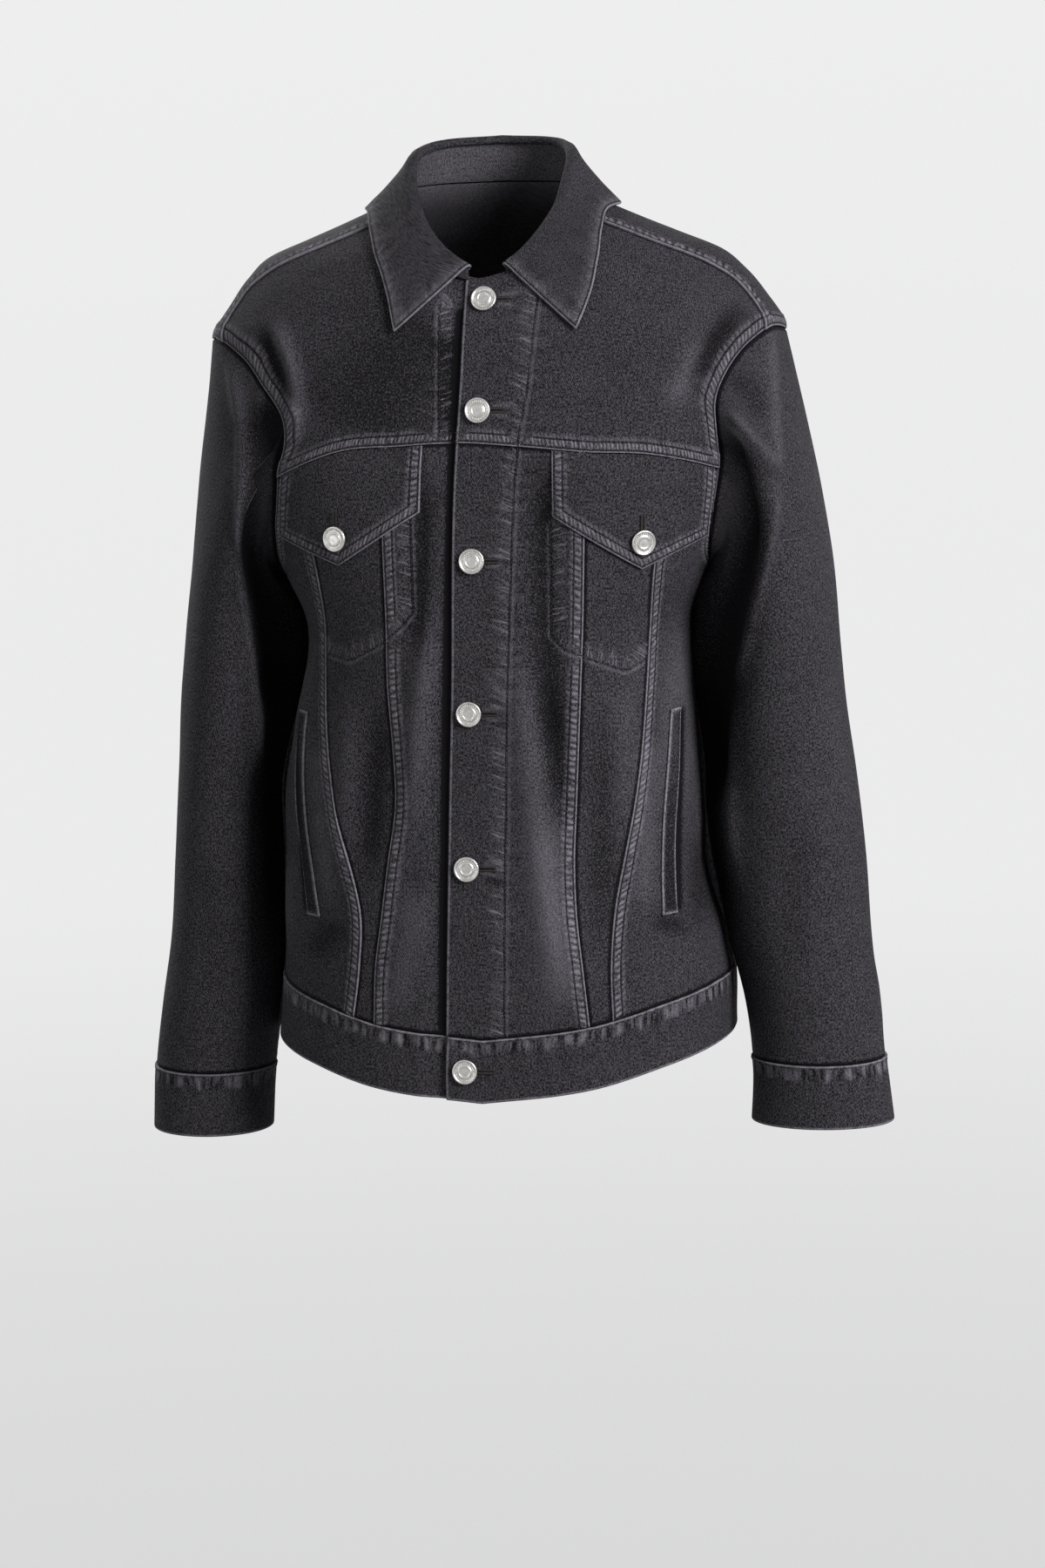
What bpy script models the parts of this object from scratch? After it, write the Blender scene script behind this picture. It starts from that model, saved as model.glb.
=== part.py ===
"""A washed-black denim jacket, buttoned, in the hollow shape it takes when it is worn.

Metres, +Z up. The front faces -Y and the wearer's left is +X. The origin is on the wearer's
vertical axis, at the height of the side of the neck. Angles run round the body in degrees,
from 0 at the centre front through 90 at the wearer's left side to 180 at the centre back.
Every panel is a wall of cloth on one body form, cut along named seams.
"""

import math

import bpy
import numpy as np

# Driving dimensions.
CLOTH = 0.0015  # one layer of denim
BAND = 0.0028  # waistband and cuffs, which are doubled
COLLAR = 0.0025  # the doubled collar fall
HALF_GAP = 0.0002  # each edge stands this far back from its seam line
LAP = CLOTH + 0.0010  # how far the under front sinks beneath the over front
PATCH_LIFT = CLOTH + 0.0012  # outer face of a flap or welt above the panel it lies on
BAND_HEIGHT = 0.047
BAND_PROUD = 0.0006  # outer face of the waistband above the body form
CUFF_HEIGHT = 0.049
CUFF_PROUD = 0.0009  # outer face of a cuff above the sleeve's
BUTTON_RADIUS = 0.0093
BUTTON_LIFT = 0.0008
UNDER_EDGE = 0.016  # the under front's edge, past the line of buttons

# Where seams meet, as a turn round the armhole: 0 at the shoulder, 90 front, 180 underarm.
SHOULDER_TURN = 27
CHEST_TURN = 122
UNDERARM_TURN = 180
BACK_YOKE_TURN = 282
BACK_SLEEVE_TURN = 262
SHOULDER_NECK_ANGLE = 60
FRONT_ROWS = 11  # spans down a long panel
BACK_ROWS = 12
SIDE_ROWS = 8  # spans down the side seam, shared by the front and the back
SHOULDER_COLUMNS = 7  # spans along the shoulder seam, shared by the front and back yokes

LEFT, RIGHT = 1, -1
SIDE_NAMES = {LEFT: "left", RIGHT: "right"}


def table(columns, rows):
    """A table as one array for each named column."""
    return dict(zip(columns.split(), np.array(rows, float).T))


# Horizontal sections of the body form.
RINGS = table(
    "z half_width shift front_depth back_depth front_power back_power",
    (
        (-0.660, 0.176, -0.002, 0.150, 0.138, 2.5, 2.5),
        (-0.620, 0.173, -0.002, 0.149, 0.136, 2.5, 2.5),
        (-0.580, 0.171, 0.000, 0.147, 0.132, 2.5, 2.5),
        (-0.540, 0.166, -0.002, 0.146, 0.129, 2.5, 2.5),
        (-0.490, 0.160, -0.006, 0.144, 0.126, 2.5, 2.5),
        (-0.430, 0.157, -0.008, 0.142, 0.124, 2.5, 2.5),
        (-0.380, 0.150, -0.005, 0.141, 0.125, 2.5, 2.5),
        (-0.330, 0.143, 0.000, 0.140, 0.128, 2.5, 2.5),
        (-0.300, 0.146, 0.000, 0.139, 0.130, 2.5, 2.5),
        (-0.270, 0.159, 0.000, 0.137, 0.132, 2.6, 2.6),
        (-0.240, 0.170, 0.000, 0.135, 0.133, 2.7, 2.8),
        (-0.200, 0.182, 0.001, 0.131, 0.133, 2.8, 2.9),
        (-0.160, 0.194, 0.001, 0.126, 0.130, 2.9, 3.0),
        (-0.120, 0.206, 0.002, 0.118, 0.124, 2.9, 3.0),
        (-0.090, 0.212, 0.002, 0.110, 0.117, 2.8, 2.9),
        (-0.070, 0.200, 0.002, 0.102, 0.110, 2.6, 2.7),
        (-0.050, 0.185, 0.001, 0.092, 0.101, 2.4, 2.5),
        (-0.035, 0.168, 0.000, 0.082, 0.092, 2.2, 2.3),
        (-0.022, 0.137, 0.000, 0.070, 0.082, 2.1, 2.2),
        (-0.010, 0.108, 0.000, 0.058, 0.074, 2.0, 2.1),
        (0.000, 0.086, 0.000, 0.048, 0.067, 2.0, 2.0),
        (0.020, 0.066, 0.000, 0.040, 0.058, 2.0, 2.0),
    ),
)

# The armhole seam, by turn round the arm, for each side of the body.
ARMHOLE = table(
    "turn angle_right z_right angle_left z_left",
    (
        (0, 90, -0.097, 90, -0.094),
        (20, 75, -0.093, 78, -0.091),
        (40, 66, -0.104, 70, -0.101),
        (60, 60, -0.125, 65, -0.120),
        (80, 54.5, -0.148, 62.5, -0.140),
        (100, 54, -0.168, 63.5, -0.162),
        (120, 57, -0.190, 66, -0.188),
        (140, 61, -0.222, 68, -0.220),
        (160, 69, -0.252, 73, -0.250),
        (180, 90, -0.268, 90, -0.268),
        (200, 108, -0.258, 108, -0.258),
        (220, 117, -0.232, 117, -0.232),
        (240, 121, -0.205, 121, -0.205),
        (260, 122, -0.175, 122, -0.175),
        (280, 120, -0.150, 120, -0.150),
        (300, 116, -0.127, 116, -0.127),
        (320, 110, -0.110, 110, -0.110),
        (340, 101, -0.099, 101, -0.098),
        (360, 90, -0.097, 90, -0.094),
    ),
)

# The seam line that the collar is sewn to, by angle from the centre front.
NECKLINE = table(
    "angle z",
    ((0, -0.054), (10, -0.050), (20, -0.043), (40, -0.024), (60, -0.005), (75, 0.005), (90, 0.010),
     (120, 0.014), (180, 0.016)),
)

# The forward shoulder seam, from the neckline to the armhole.
SHOULDER_SEAM = table(
    "part angle z",
    ((0.0, 60, -0.005), (0.15, 66, -0.018), (0.35, 70, -0.032), (0.55, 74, -0.045), (0.75, 76, -0.060),
     (0.9, 75, -0.078), (1.0, 72, -0.094)),
)

# The chest seam under the front yokes, across the front.
CHEST_SEAM = table(
    "x z",
    ((-0.160, -0.200), (-0.127, -0.183), (-0.101, -0.1735), (-0.053, -0.169), (-0.014, -0.167),
     (0.032, -0.170), (0.081, -0.175), (0.126, -0.179), (0.154, -0.187), (0.180, -0.199)),
)

# The waistband's seam, by angle from the centre front.
WAIST_SEAM = table(
    "angle z",
    ((0, -0.600), (30, -0.591), (50, -0.579), (70, -0.573), (90, -0.574), (135, -0.582), (180, -0.588)),
)

# The front edge of the over front, and the line of buttons.
CLOSURE = table(
    "z free_edge button_line",
    ((-0.650, -0.029, -0.014), (-0.600, -0.028, -0.013), (-0.504, -0.025, -0.011), (-0.420, -0.022, -0.008),
     (-0.347, -0.019, -0.005), (-0.200, -0.015, 0.001), (-0.118, -0.010, 0.004), (-0.056, -0.008, 0.006)),
)

# Long seams of the front and the back, as distances from the centre line.
PANEL_SEAMS = table(
    "z inner_right inner_left outer_right outer_left back",
    (
        (-0.590, 0.083, 0.077, 0.099, 0.093, 0.078),
        (-0.550, 0.081, 0.073, 0.093, 0.092, 0.081),
        (-0.510, 0.075, 0.069, 0.091, 0.095, 0.084),
        (-0.470, 0.069, 0.068, 0.100, 0.102, 0.087),
        (-0.430, 0.063, 0.070, 0.109, 0.109, 0.090),
        (-0.390, 0.064, 0.072, 0.115, 0.114, 0.093),
        (-0.340, 0.067, 0.0745, 0.118, 0.118, 0.097),
        (-0.290, 0.067, 0.077, 0.117, 0.122, 0.102),
        (-0.235, 0.068, 0.079, 0.124, 0.129, 0.109),
        (-0.170, 0.068, 0.080, 0.134, 0.141, 0.117),
    ),
)

# The pointed pocket flaps, as corners on the front, from the wearer's centre outwards.
FLAPS = {
    RIGHT: {"top": (-0.037, -0.146), "inner": (-0.040, -0.216), "point": (-0.101, -0.255),
            "outer": (-0.150, -0.236)},
    LEFT: {"top": (0.056, 0.168), "inner": (0.056, -0.220), "point": (0.117, -0.260),
           "outer": (0.160, -0.240)},
}

# The slanted hand-pocket welts: angles of their two long edges at the top and the bottom.
WELT_TOP_Z = -0.367
WELT_BOTTOM_Z = -0.516
WELTS = {
    RIGHT: {"top": (-61.5, -56.0), "bottom": (-52.5, -47.0)},
    LEFT: {"top": (60.5, 66.0), "bottom": (52.0, 57.5)},
}

# The collar's fold line and outer edge, from its front end to the centre back.
COLLAR_LINES = table(
    "part fold_right fold_left fold_radius fold_z edge_right edge_left edge_z",
    (
        (0.00, 4, 13, 0.090, -0.045, 29, 33.5, -0.089),
        (0.10, 14, 22, 0.086, -0.036, 35, 41, -0.062),
        (0.22, 29, 35, 0.077, -0.021, 43, 49, -0.040),
        (0.35, 45, 50, 0.069, -0.002, 56, 61, -0.021),
        (0.48, 66, 68, 0.062, 0.018, 74, 75, -0.007),
        (0.60, 90, 90, 0.059, 0.035, 91, 91, -0.004),
        (0.75, 120, 120, 0.058, 0.044, 118, 118, -0.004),
        (1.00, 180, 180, 0.058, 0.048, 180, 180, -0.012),
    ),
)
COLLAR_CLEARANCE = COLLAR + 0.003  # the fall's outer face above the body form
COLLAR_ROLL = COLLAR + 0.0025  # the fall rises this far above its fold line
STAND_CLEARANCE = COLLAR + 0.0012  # the fall's outer face out from the stand
SHOULDER_TOP_Z = 0.012  # the body form is followed by the collar below this height
STAND_GAP = 0.0026  # the stand rises this far above the neckline
STAND_DROP = 0.0030  # and ends this far below the fold line

# Horizontal sections of the two sleeves, below the armhole. Each is an oval whose side towards the
# body reaches a little further in.
SLEEVES = {
    RIGHT: table(
        "z centre_x centre_y half_width half_depth reach",
        (
            (-0.698, 0.2315, -0.020, 0.0455, 0.041, 0.0),
            (-0.648, 0.2285, -0.018, 0.0458, 0.043, 0.0),
            (-0.600, 0.2245, -0.012, 0.0440, 0.050, 0.0035),
            (-0.550, 0.2185, -0.006, 0.0425, 0.056, 0.0040),
            (-0.490, 0.2155, 0.000, 0.0412, 0.062, 0.0040),
            (-0.430, 0.2120, 0.004, 0.0405, 0.067, 0.0),
            (-0.370, 0.2040, 0.004, 0.0430, 0.072, 0.0035),
            (-0.335, 0.1995, 0.003, 0.0430, 0.0755, 0.0075),
            (-0.300, 0.1950, 0.002, 0.0430, 0.079, 0.0030),
        ),
    ),
    LEFT: table(
        "z centre_x centre_y half_width half_depth reach",
        (
            (-0.698, 0.2385, -0.020, 0.0540, 0.037, 0.0),
            (-0.648, 0.2365, -0.018, 0.0500, 0.040, 0.0),
            (-0.600, 0.2310, -0.012, 0.0500, 0.046, 0.0),
            (-0.550, 0.2235, -0.006, 0.0520, 0.051, 0.0032),
            (-0.490, 0.2165, 0.000, 0.0550, 0.056, 0.0060),
            (-0.430, 0.2110, 0.004, 0.0540, 0.062, 0.0066),
            (-0.370, 0.2050, 0.004, 0.0520, 0.070, 0.0066),
            (-0.335, 0.2030, 0.003, 0.0510, 0.075, 0.0074),
            (-0.300, 0.2010, 0.002, 0.0500, 0.080, 0.0036),
        ),
    ),
}
REACH_TURN = {RIGHT: 188, LEFT: 170}  # the turn at which it reaches furthest
REACH_SPREAD = 42
SLEEVE_START = 0.0012  # the sleeve begins this far out from the armhole seam
SLEEVE_END = {RIGHT: -0.6485, LEFT: -0.6385}  # height of the cuff's seam
SLEEVE_FLARE = {RIGHT: 0.10, LEFT: 0.22}  # how far the sleeve leans out as it leaves the shoulder

# Where each button sits: its place across and its height.
BUTTONS = {
    "button_1": (0.006, -0.066),
    "button_2": (0.003, -0.144),
    "button_3": (-0.002, -0.251),
    "button_4": (-0.006, -0.361),
    "button_5": (-0.010, -0.474),
    "button_6": (-0.014, -0.623),
    "flap_button_right": (-0.102, -0.235),
    "flap_button_left": (0.118, -0.240),
}

# A button's turned profile, as a share of its radius and a height, from its back to the middle of its face.
BUTTON_PROFILE = ((0.93, 0.0), (1.0, 0.0006), (1.0, 0.0016), (0.88, 0.0025), (0.6, 0.0020), (0.5, 0.0027))
BUTTON_HEIGHT = 0.0029

DENIM = (0.045, 0.043, 0.050)
DENIM_DARK = (0.032, 0.030, 0.035)
NICKEL = (0.62, 0.61, 0.60)


# The form and its seams.


def smooth(tab, column, at):
    """A smooth curve through one column of a table, read at a value of its first column."""
    x = next(iter(tab.values()))
    y = tab[column]
    slope = np.diff(y) / np.diff(x)
    width = np.diff(x)
    tangent = np.concatenate([slope[:1], (slope[:-1] * width[1:] + slope[1:] * width[:-1])
                              / (width[1:] + width[:-1]), slope[-1:]])
    i = int(np.clip(np.searchsorted(x, at) - 1, 0, len(x) - 2))
    t = (at - x[i]) / width[i]
    return (
        (2 * t**3 - 3 * t**2 + 1) * y[i]
        + (t**3 - 2 * t**2 + t) * width[i] * tangent[i]
        + (3 * t**2 - 2 * t**3) * y[i + 1]
        + (t**3 - t**2) * width[i] * tangent[i + 1]
    )


def body_point(angle, z):
    """The point of the body form at an angle and a height."""
    turn = math.radians(angle)
    across, along = math.sin(turn), math.cos(turn)
    face = "front" if along > 0 else "back"
    depth = smooth(RINGS, face + "_depth", z)
    power = smooth(RINGS, face + "_power", z)
    width = smooth(RINGS, "half_width", z)
    radius = ((abs(across) / width) ** power + (abs(along) / depth) ** power) ** (-1 / power)
    return np.array([smooth(RINGS, "shift", z) + radius * across, -radius * along, z])


def body_normal(angle, z):
    """The outward direction of the body form at an angle and a height."""
    step = 0.5
    rise = 0.001
    round_body = body_point(angle + step, z) - body_point(angle - step, z)
    up_body = body_point(angle, z + rise) - body_point(angle, z - rise)
    return unit(np.cross(round_body, up_body))


def unit(vector):
    return vector / max(np.linalg.norm(vector), 1e-9)


def angle_across(x, z, face="front"):
    """The angle at which the form has this distance across, on its front or its back."""
    offset = x - smooth(RINGS, "shift", z)
    width = smooth(RINGS, "half_width", z)
    depth = smooth(RINGS, face + "_depth", z)
    power = smooth(RINGS, face + "_power", z)
    share = min(abs(offset) / width, 1.0)
    along = depth * (1 - share**power) ** (1 / power)
    turn = math.degrees(math.atan2(abs(offset), along))
    return math.copysign(turn if face == "front" else 180 - turn, offset)


def armhole(side, turn):
    """(angle, z) of the armhole seam at a turn round the arm."""
    name = SIDE_NAMES[side]
    turn = turn % 360
    return np.array([side * smooth(ARMHOLE, "angle_" + name, turn), smooth(ARMHOLE, "z_" + name, turn)])


def neckline(angle):
    """(angle, z) of the neckline."""
    return np.array([angle, smooth(NECKLINE, "z", abs(angle if angle <= 180 else 360 - angle))])


def waist_seam(angle):
    """(angle, z) of the waistband's seam."""
    folded = abs((angle + 180) % 360 - 180)
    return np.array([angle, smooth(WAIST_SEAM, "z", folded)])


def shoulder_seam(side, part):
    """(angle, z) of the forward shoulder seam, ending exactly on the armhole."""
    point = np.array([side * smooth(SHOULDER_SEAM, "angle", part), smooth(SHOULDER_SEAM, "z", part)])
    end = np.array([side * SHOULDER_SEAM["angle"][-1], SHOULDER_SEAM["z"][-1]])
    return point + part**3 * (armhole(side, SHOULDER_TURN) - end)


def chest_seam(side, x):
    """(angle, z) of the chest seam, ending exactly on the armhole."""
    corner_angle, corner_z = armhole(side, CHEST_TURN)
    corner_x = body_point(corner_angle, corner_z)[0]
    miss = corner_z - smooth(CHEST_SEAM, "z", corner_x)
    z = smooth(CHEST_SEAM, "z", x) + miss * (max(x / corner_x, 0.0)) ** 4
    return np.array([angle_across(x, z), z])


def panel_seam_x(side, name, z):
    return side * smooth(PANEL_SEAMS, f"{name}_{SIDE_NAMES[side]}", z)


def front_edge_x(side, z):
    """How far across each front reaches: the over front's free edge, or the under front's."""
    if side == LEFT:
        return smooth(CLOSURE, "free_edge", z)
    return smooth(CLOSURE, "button_line", z) + UNDER_EDGE


def under_lap(x, z):
    """How far the under front sinks at this place, from nothing to the full lap."""
    edge = smooth(CLOSURE, "free_edge", z)
    share = np.clip((x - (edge - 0.021)) / 0.014, 0, 1)
    return LAP * share * share * (3 - 2 * share)


def vertical_edge(x_at, side, top=True):
    """A seam running from the chest seam to the waistband, as a function of 0 to 1."""
    z_top = -0.17
    for _ in range(4):
        z_top = chest_seam(side, x_at(z_top))[1]
    z_bottom = -0.59
    for _ in range(4):
        z_bottom = waist_seam(angle_across(x_at(z_bottom), z_bottom))[1]

    def edge(part):
        z = z_top + (z_bottom - z_top) * part
        return np.array([angle_across(x_at(z), z), z])

    return edge


def armhole_to_waist(side, start_turn, arm_share):
    """A panel's edge down the armhole to the underarm, and then down the side seam."""
    underarm = armhole(side, UNDERARM_TURN)
    waist = waist_seam(side * 90)

    def edge(part):
        if part <= arm_share:
            return armhole(side, start_turn + (UNDERARM_TURN - start_turn) * part / arm_share)
        return underarm + (waist - underarm) * (part - arm_share) / (1 - arm_share)

    return edge


# Cloth.


def coons(left, right, top, bottom, columns, rows):
    """A grid of pairs between four edges, each a function of 0 to 1."""
    corners = top(0.0), top(1.0), bottom(0.0), bottom(1.0)
    grid = np.zeros((len(rows), len(columns), 2))
    for i, t in enumerate(rows):
        for j, s in enumerate(columns):
            ruled = (1 - t) * top(s) + t * bottom(s) + (1 - s) * left(t) + s * right(t)
            near = (1 - t) * corners[0] + t * corners[2]
            far = (1 - t) * corners[1] + t * corners[3]
            grid[i, j] = ruled - (1 - s) * near - s * far
    return grid


def steps(count):
    return np.linspace(0, 1, count + 1)


def on_body(grid, lift=None):
    """Points and normals of a grid of (angle, z), moved out by lift(point) where given."""
    points = np.zeros(grid.shape[:2] + (3,))
    normals = np.zeros_like(points)
    for i, j in np.ndindex(grid.shape[:2]):
        angle, z = grid[i, j]
        points[i, j] = body_point(angle, z)
        normals[i, j] = body_normal(angle, z)
        if lift:
            points[i, j] += normals[i, j] * lift(points[i, j])
    return points, normals


def stand_back(points, gap=HALF_GAP):
    """Moves the four edges of a grid in from their seam lines."""
    moved = points.copy()
    for edge, inner in ((0, 1), (-1, -2)):
        moved[edge] += pull(points[edge], points[inner], gap)
        moved[:, edge] += pull(points[:, edge], points[:, inner], gap)
    return moved


def pull(edge, inner, gap):
    """A move of each edge point towards the next row, by the gap measured square to the edge."""
    toward = inner - edge
    along = np.gradient(edge, axis=0)
    along /= np.maximum(np.linalg.norm(along, axis=1, keepdims=True), 1e-9)
    square = toward - (toward * along).sum(axis=1, keepdims=True) * along
    return square / np.maximum(np.linalg.norm(square, axis=1, keepdims=True), 1e-9) * gap


def wall(name, outer, inner, colour, ring=False):
    """One closed body between an outer and an inner grid of points. A ring meets itself."""
    rows, cols = outer.shape[:2]
    verts = np.concatenate([outer.reshape(-1, 3), inner.reshape(-1, 3)])
    layer = rows * cols
    spans = cols if ring else cols - 1
    faces = []

    def at(i, j, side):
        return side * layer + i * cols + j % cols

    for i in range(rows - 1):
        for j in range(spans):
            faces.append((at(i, j, 0), at(i + 1, j, 0), at(i + 1, j + 1, 0), at(i, j + 1, 0)))
            faces.append((at(i, j, 1), at(i, j + 1, 1), at(i + 1, j + 1, 1), at(i + 1, j, 1)))
    for j in range(spans):
        faces.append((at(0, j, 0), at(0, j + 1, 0), at(0, j + 1, 1), at(0, j, 1)))
        faces.append((at(rows - 1, j, 0), at(rows - 1, j, 1), at(rows - 1, j + 1, 1), at(rows - 1, j + 1, 0)))
    for i in range(rows - 1 if not ring else 0):
        faces.append((at(i, 0, 0), at(i, 0, 1), at(i + 1, 0, 1), at(i + 1, 0, 0)))
        faces.append((at(i, cols - 1, 0), at(i + 1, cols - 1, 0), at(i + 1, cols - 1, 1), at(i, cols - 1, 1)))
    return add_mesh(name, verts, faces, colour)


def add_mesh(name, verts, faces, colour, metallic=0.0, roughness=0.85):
    """An object with its own material, its faces turned outwards."""
    mesh = bpy.data.meshes.new(name)
    mesh.from_pydata([tuple(v) for v in verts], [], faces)
    if signed_volume(mesh) < 0:
        mesh.flip_normals()
    mesh.shade_smooth()
    mesh.set_sharp_from_angle(angle=math.radians(50))
    material = bpy.data.materials.new(name)
    material.use_nodes = True
    shader = material.node_tree.nodes["Principled BSDF"]
    shader.inputs["Base Color"].default_value = (*colour, 1)
    shader.inputs["Metallic"].default_value = metallic
    shader.inputs["Roughness"].default_value = roughness
    mesh.materials.append(material)
    piece = bpy.data.objects.new(name, mesh)
    bpy.context.scene.collection.objects.link(piece)
    return piece


def signed_volume(mesh):
    mesh.calc_loop_triangles()
    total = 0.0
    for triangle in mesh.loop_triangles:
        a, b, c = (mesh.vertices[i].co for i in triangle.vertices)
        total += a.dot(b.cross(c))
    return total


def panel(name, grid, lift=None, thickness=CLOTH, colour=DENIM):
    """A cut panel of the body: a wall whose outer face is the grid on the form."""
    points, normals = on_body(grid, lift)
    outer = stand_back(points)
    return wall(name, outer, outer - normals * thickness, colour)


# The fronts.


def front_yoke(side):
    neck_start = angle_across(front_edge_x(side, -0.054), -0.054)
    neck_end = side * SHOULDER_NECK_ANGLE
    neck_columns = 5
    neck_share = neck_columns / (neck_columns + SHOULDER_COLUMNS)
    top_z = neckline(neck_start)[1]
    edge_z = chest_seam(side, front_edge_x(side, -0.167))[1]
    corner = body_point(*armhole(side, CHEST_TURN))[0]

    def flat(pair):
        """(x, z) in the front view of a pair on the form."""
        return body_point(*pair)[[0, 2]]

    def left(part):
        z = top_z + (edge_z - top_z) * part
        return np.array([front_edge_x(side, z), z])

    def right(part):
        return flat(armhole(side, SHOULDER_TURN + (CHEST_TURN - SHOULDER_TURN) * part))

    def top(part):
        if part <= neck_share:
            return flat(neckline(neck_start + (neck_end - neck_start) * part / neck_share))
        return flat(shoulder_seam(side, (part - neck_share) / (1 - neck_share)))

    def bottom(part):
        x = left(1)[0] + (corner - left(1)[0]) * part
        return np.array([x, chest_seam(side, x)[1]])

    grid = coons(left, right, top, bottom, steps(neck_columns + SHOULDER_COLUMNS), steps(7))
    for i, j in np.ndindex(grid.shape[:2]):
        x, z = grid[i, j]
        grid[i, j] = angle_across(x, z), z
    lift = None if side == LEFT else (lambda point: -under_lap(point[0], point[2]))
    panel(f"front_yoke_{SIDE_NAMES[side]}", grid, lift)


def front_strip(side, name, near_x, far_x, columns, lift=None):
    """A front panel between two long seams."""
    left, right = vertical_edge(near_x, side), vertical_edge(far_x, side)
    x_near, x_far = near_x(left(0)[1]), far_x(right(0)[1])

    def top(part):
        return chest_seam(side, x_near + (x_far - x_near) * part)

    def bottom(part):
        return waist_seam(left(1)[0] + (right(1)[0] - left(1)[0]) * part)

    grid = coons(left, right, top, bottom, steps(columns), steps(FRONT_ROWS))
    panel(f"{name}_{SIDE_NAMES[side]}", grid, lift)


def front_centre(side):
    lift = None if side == LEFT else (lambda point: -under_lap(point[0], point[2]))
    front_strip(side, "front_centre", lambda z: front_edge_x(side, z),
                lambda z: panel_seam_x(side, "inner", z), 6, lift)


def front_middle(side):
    front_strip(side, "front_middle", lambda z: panel_seam_x(side, "inner", z),
                lambda z: panel_seam_x(side, "outer", z), 3)


def front_side(side):
    arm_rows, side_rows = 3, SIDE_ROWS
    left = vertical_edge(lambda z: panel_seam_x(side, "outer", z), side)
    right = armhole_to_waist(side, CHEST_TURN, arm_rows / (arm_rows + side_rows))
    start = body_point(*left(0))[0]
    corner = body_point(*right(0))[0]

    def top(part):
        return chest_seam(side, start + (corner - start) * part)

    def bottom(part):
        return waist_seam(left(1)[0] + (right(1)[0] - left(1)[0]) * part)

    grid = coons(left, right, top, bottom, steps(5), steps(arm_rows + side_rows))
    panel(f"front_side_{SIDE_NAMES[side]}", grid)


# The back.


def back_yoke_seam(angle):
    """(angle, z) of the seam under the back yoke, which dips a little at the centre."""
    z_end = armhole(LEFT, BACK_YOKE_TURN)[1]
    end = armhole(LEFT, BACK_YOKE_TURN)[0]
    share = (180 - abs(angle if angle <= 180 else 360 - angle)) / (180 - end)
    return np.array([angle, z_end - 0.010 * (1 - share**2)])


def back_yoke():
    arm_share = 0.3

    def shoulder(side, part):
        pair = shoulder_seam(side, part)
        return np.array([pair[0] % 360, pair[1]])

    def top(part):
        return neckline(SHOULDER_NECK_ANGLE + (360 - 2 * SHOULDER_NECK_ANGLE) * part)

    def bottom(part):
        if part > 0.5:
            angle, z = bottom_left(1 - part, RIGHT)
            return np.array([angle % 360, z])
        return bottom_left(part, LEFT)

    def bottom_left(part, side):
        sweep = SHOULDER_TURN + 360 - BACK_YOKE_TURN
        if part <= arm_share:
            return armhole(side, SHOULDER_TURN - sweep * part / arm_share)
        end = armhole(LEFT, BACK_YOKE_TURN)[0]
        angle, z = back_yoke_seam(end + (180 - end) * (part - arm_share) / (0.5 - arm_share))
        return np.array([side * angle, z])

    columns = np.concatenate([steps(8) * arm_share, arm_share + steps(8)[1:] * (1 - 2 * arm_share),
                              1 - arm_share + steps(8)[1:] * arm_share])
    rows = steps(SHOULDER_COLUMNS)
    grid = coons(lambda t: shoulder(LEFT, t), lambda t: shoulder(RIGHT, t), top, bottom, columns, rows)
    panel("back_yoke", grid)


def back_seam_edge(side):
    """The long back seam, from the yoke to the waistband."""
    z_top = -0.155

    def at(z):
        return angle_across(side * smooth(PANEL_SEAMS, "back", z), z, "back")

    for _ in range(4):
        z_top = back_yoke_seam(abs(at(z_top)))[1]
    z_bottom = waist_seam(at(-0.585))[1]

    def edge(part):
        z = z_top + (z_bottom - z_top) * part
        return np.array([at(z) % 360, z])

    return edge


def back_centre():
    left, right = back_seam_edge(LEFT), back_seam_edge(RIGHT)

    def top(part):
        return back_yoke_seam(left(0)[0] + (right(0)[0] - left(0)[0]) * part)

    def bottom(part):
        return waist_seam(left(1)[0] + (right(1)[0] - left(1)[0]) * part)

    panel("back_centre", coons(left, right, top, bottom, steps(8), steps(BACK_ROWS)))


def back_side(side):
    arm_rows, side_rows = 4, SIDE_ROWS
    seam = back_seam_edge(side)

    def left(part):
        angle, z = seam(part)
        return np.array([angle if side == LEFT else angle - 360, z])

    right = armhole_to_waist(side, BACK_YOKE_TURN, arm_rows / (arm_rows + side_rows))

    def top(part):
        angle, z = back_yoke_seam(abs(left(0)[0] + (right(0)[0] - left(0)[0]) * part))
        return np.array([side * angle, z])

    def bottom(part):
        return waist_seam(left(1)[0] + (right(1)[0] - left(1)[0]) * part)

    grid = coons(left, right, top, bottom, steps(5), steps(arm_rows + side_rows))
    panel(f"back_side_{SIDE_NAMES[side]}", grid)


# What lies on the fronts.


def flap(side):
    """A pocket flap, hung from the chest seam and coming to a point over its button."""
    shape = FLAPS[side]
    near, far = shape["top"]

    def top(part):
        x = near + (far - near) * part
        return np.array([x, chest_seam(side, x)[1] - 3 * HALF_GAP])

    def bottom(part):
        ends = ("inner", "point") if part <= 0.5 else ("point", "outer")
        share = part * 2 if part <= 0.5 else part * 2 - 1
        return np.array(shape[ends[0]]) * (1 - share) + np.array(shape[ends[1]]) * share

    def left(part):
        return top(0.0) * (1 - part) + bottom(0.0) * part

    def right(part):
        return top(1.0) * (1 - part) + bottom(1.0) * part

    grid = coons(left, right, top, bottom, steps(8), steps(5))
    for i, j in np.ndindex(grid.shape[:2]):
        x, z = grid[i, j]
        grid[i, j] = angle_across(x, z), z
    panel(f"flap_{SIDE_NAMES[side]}", grid, lambda point: PATCH_LIFT)


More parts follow.
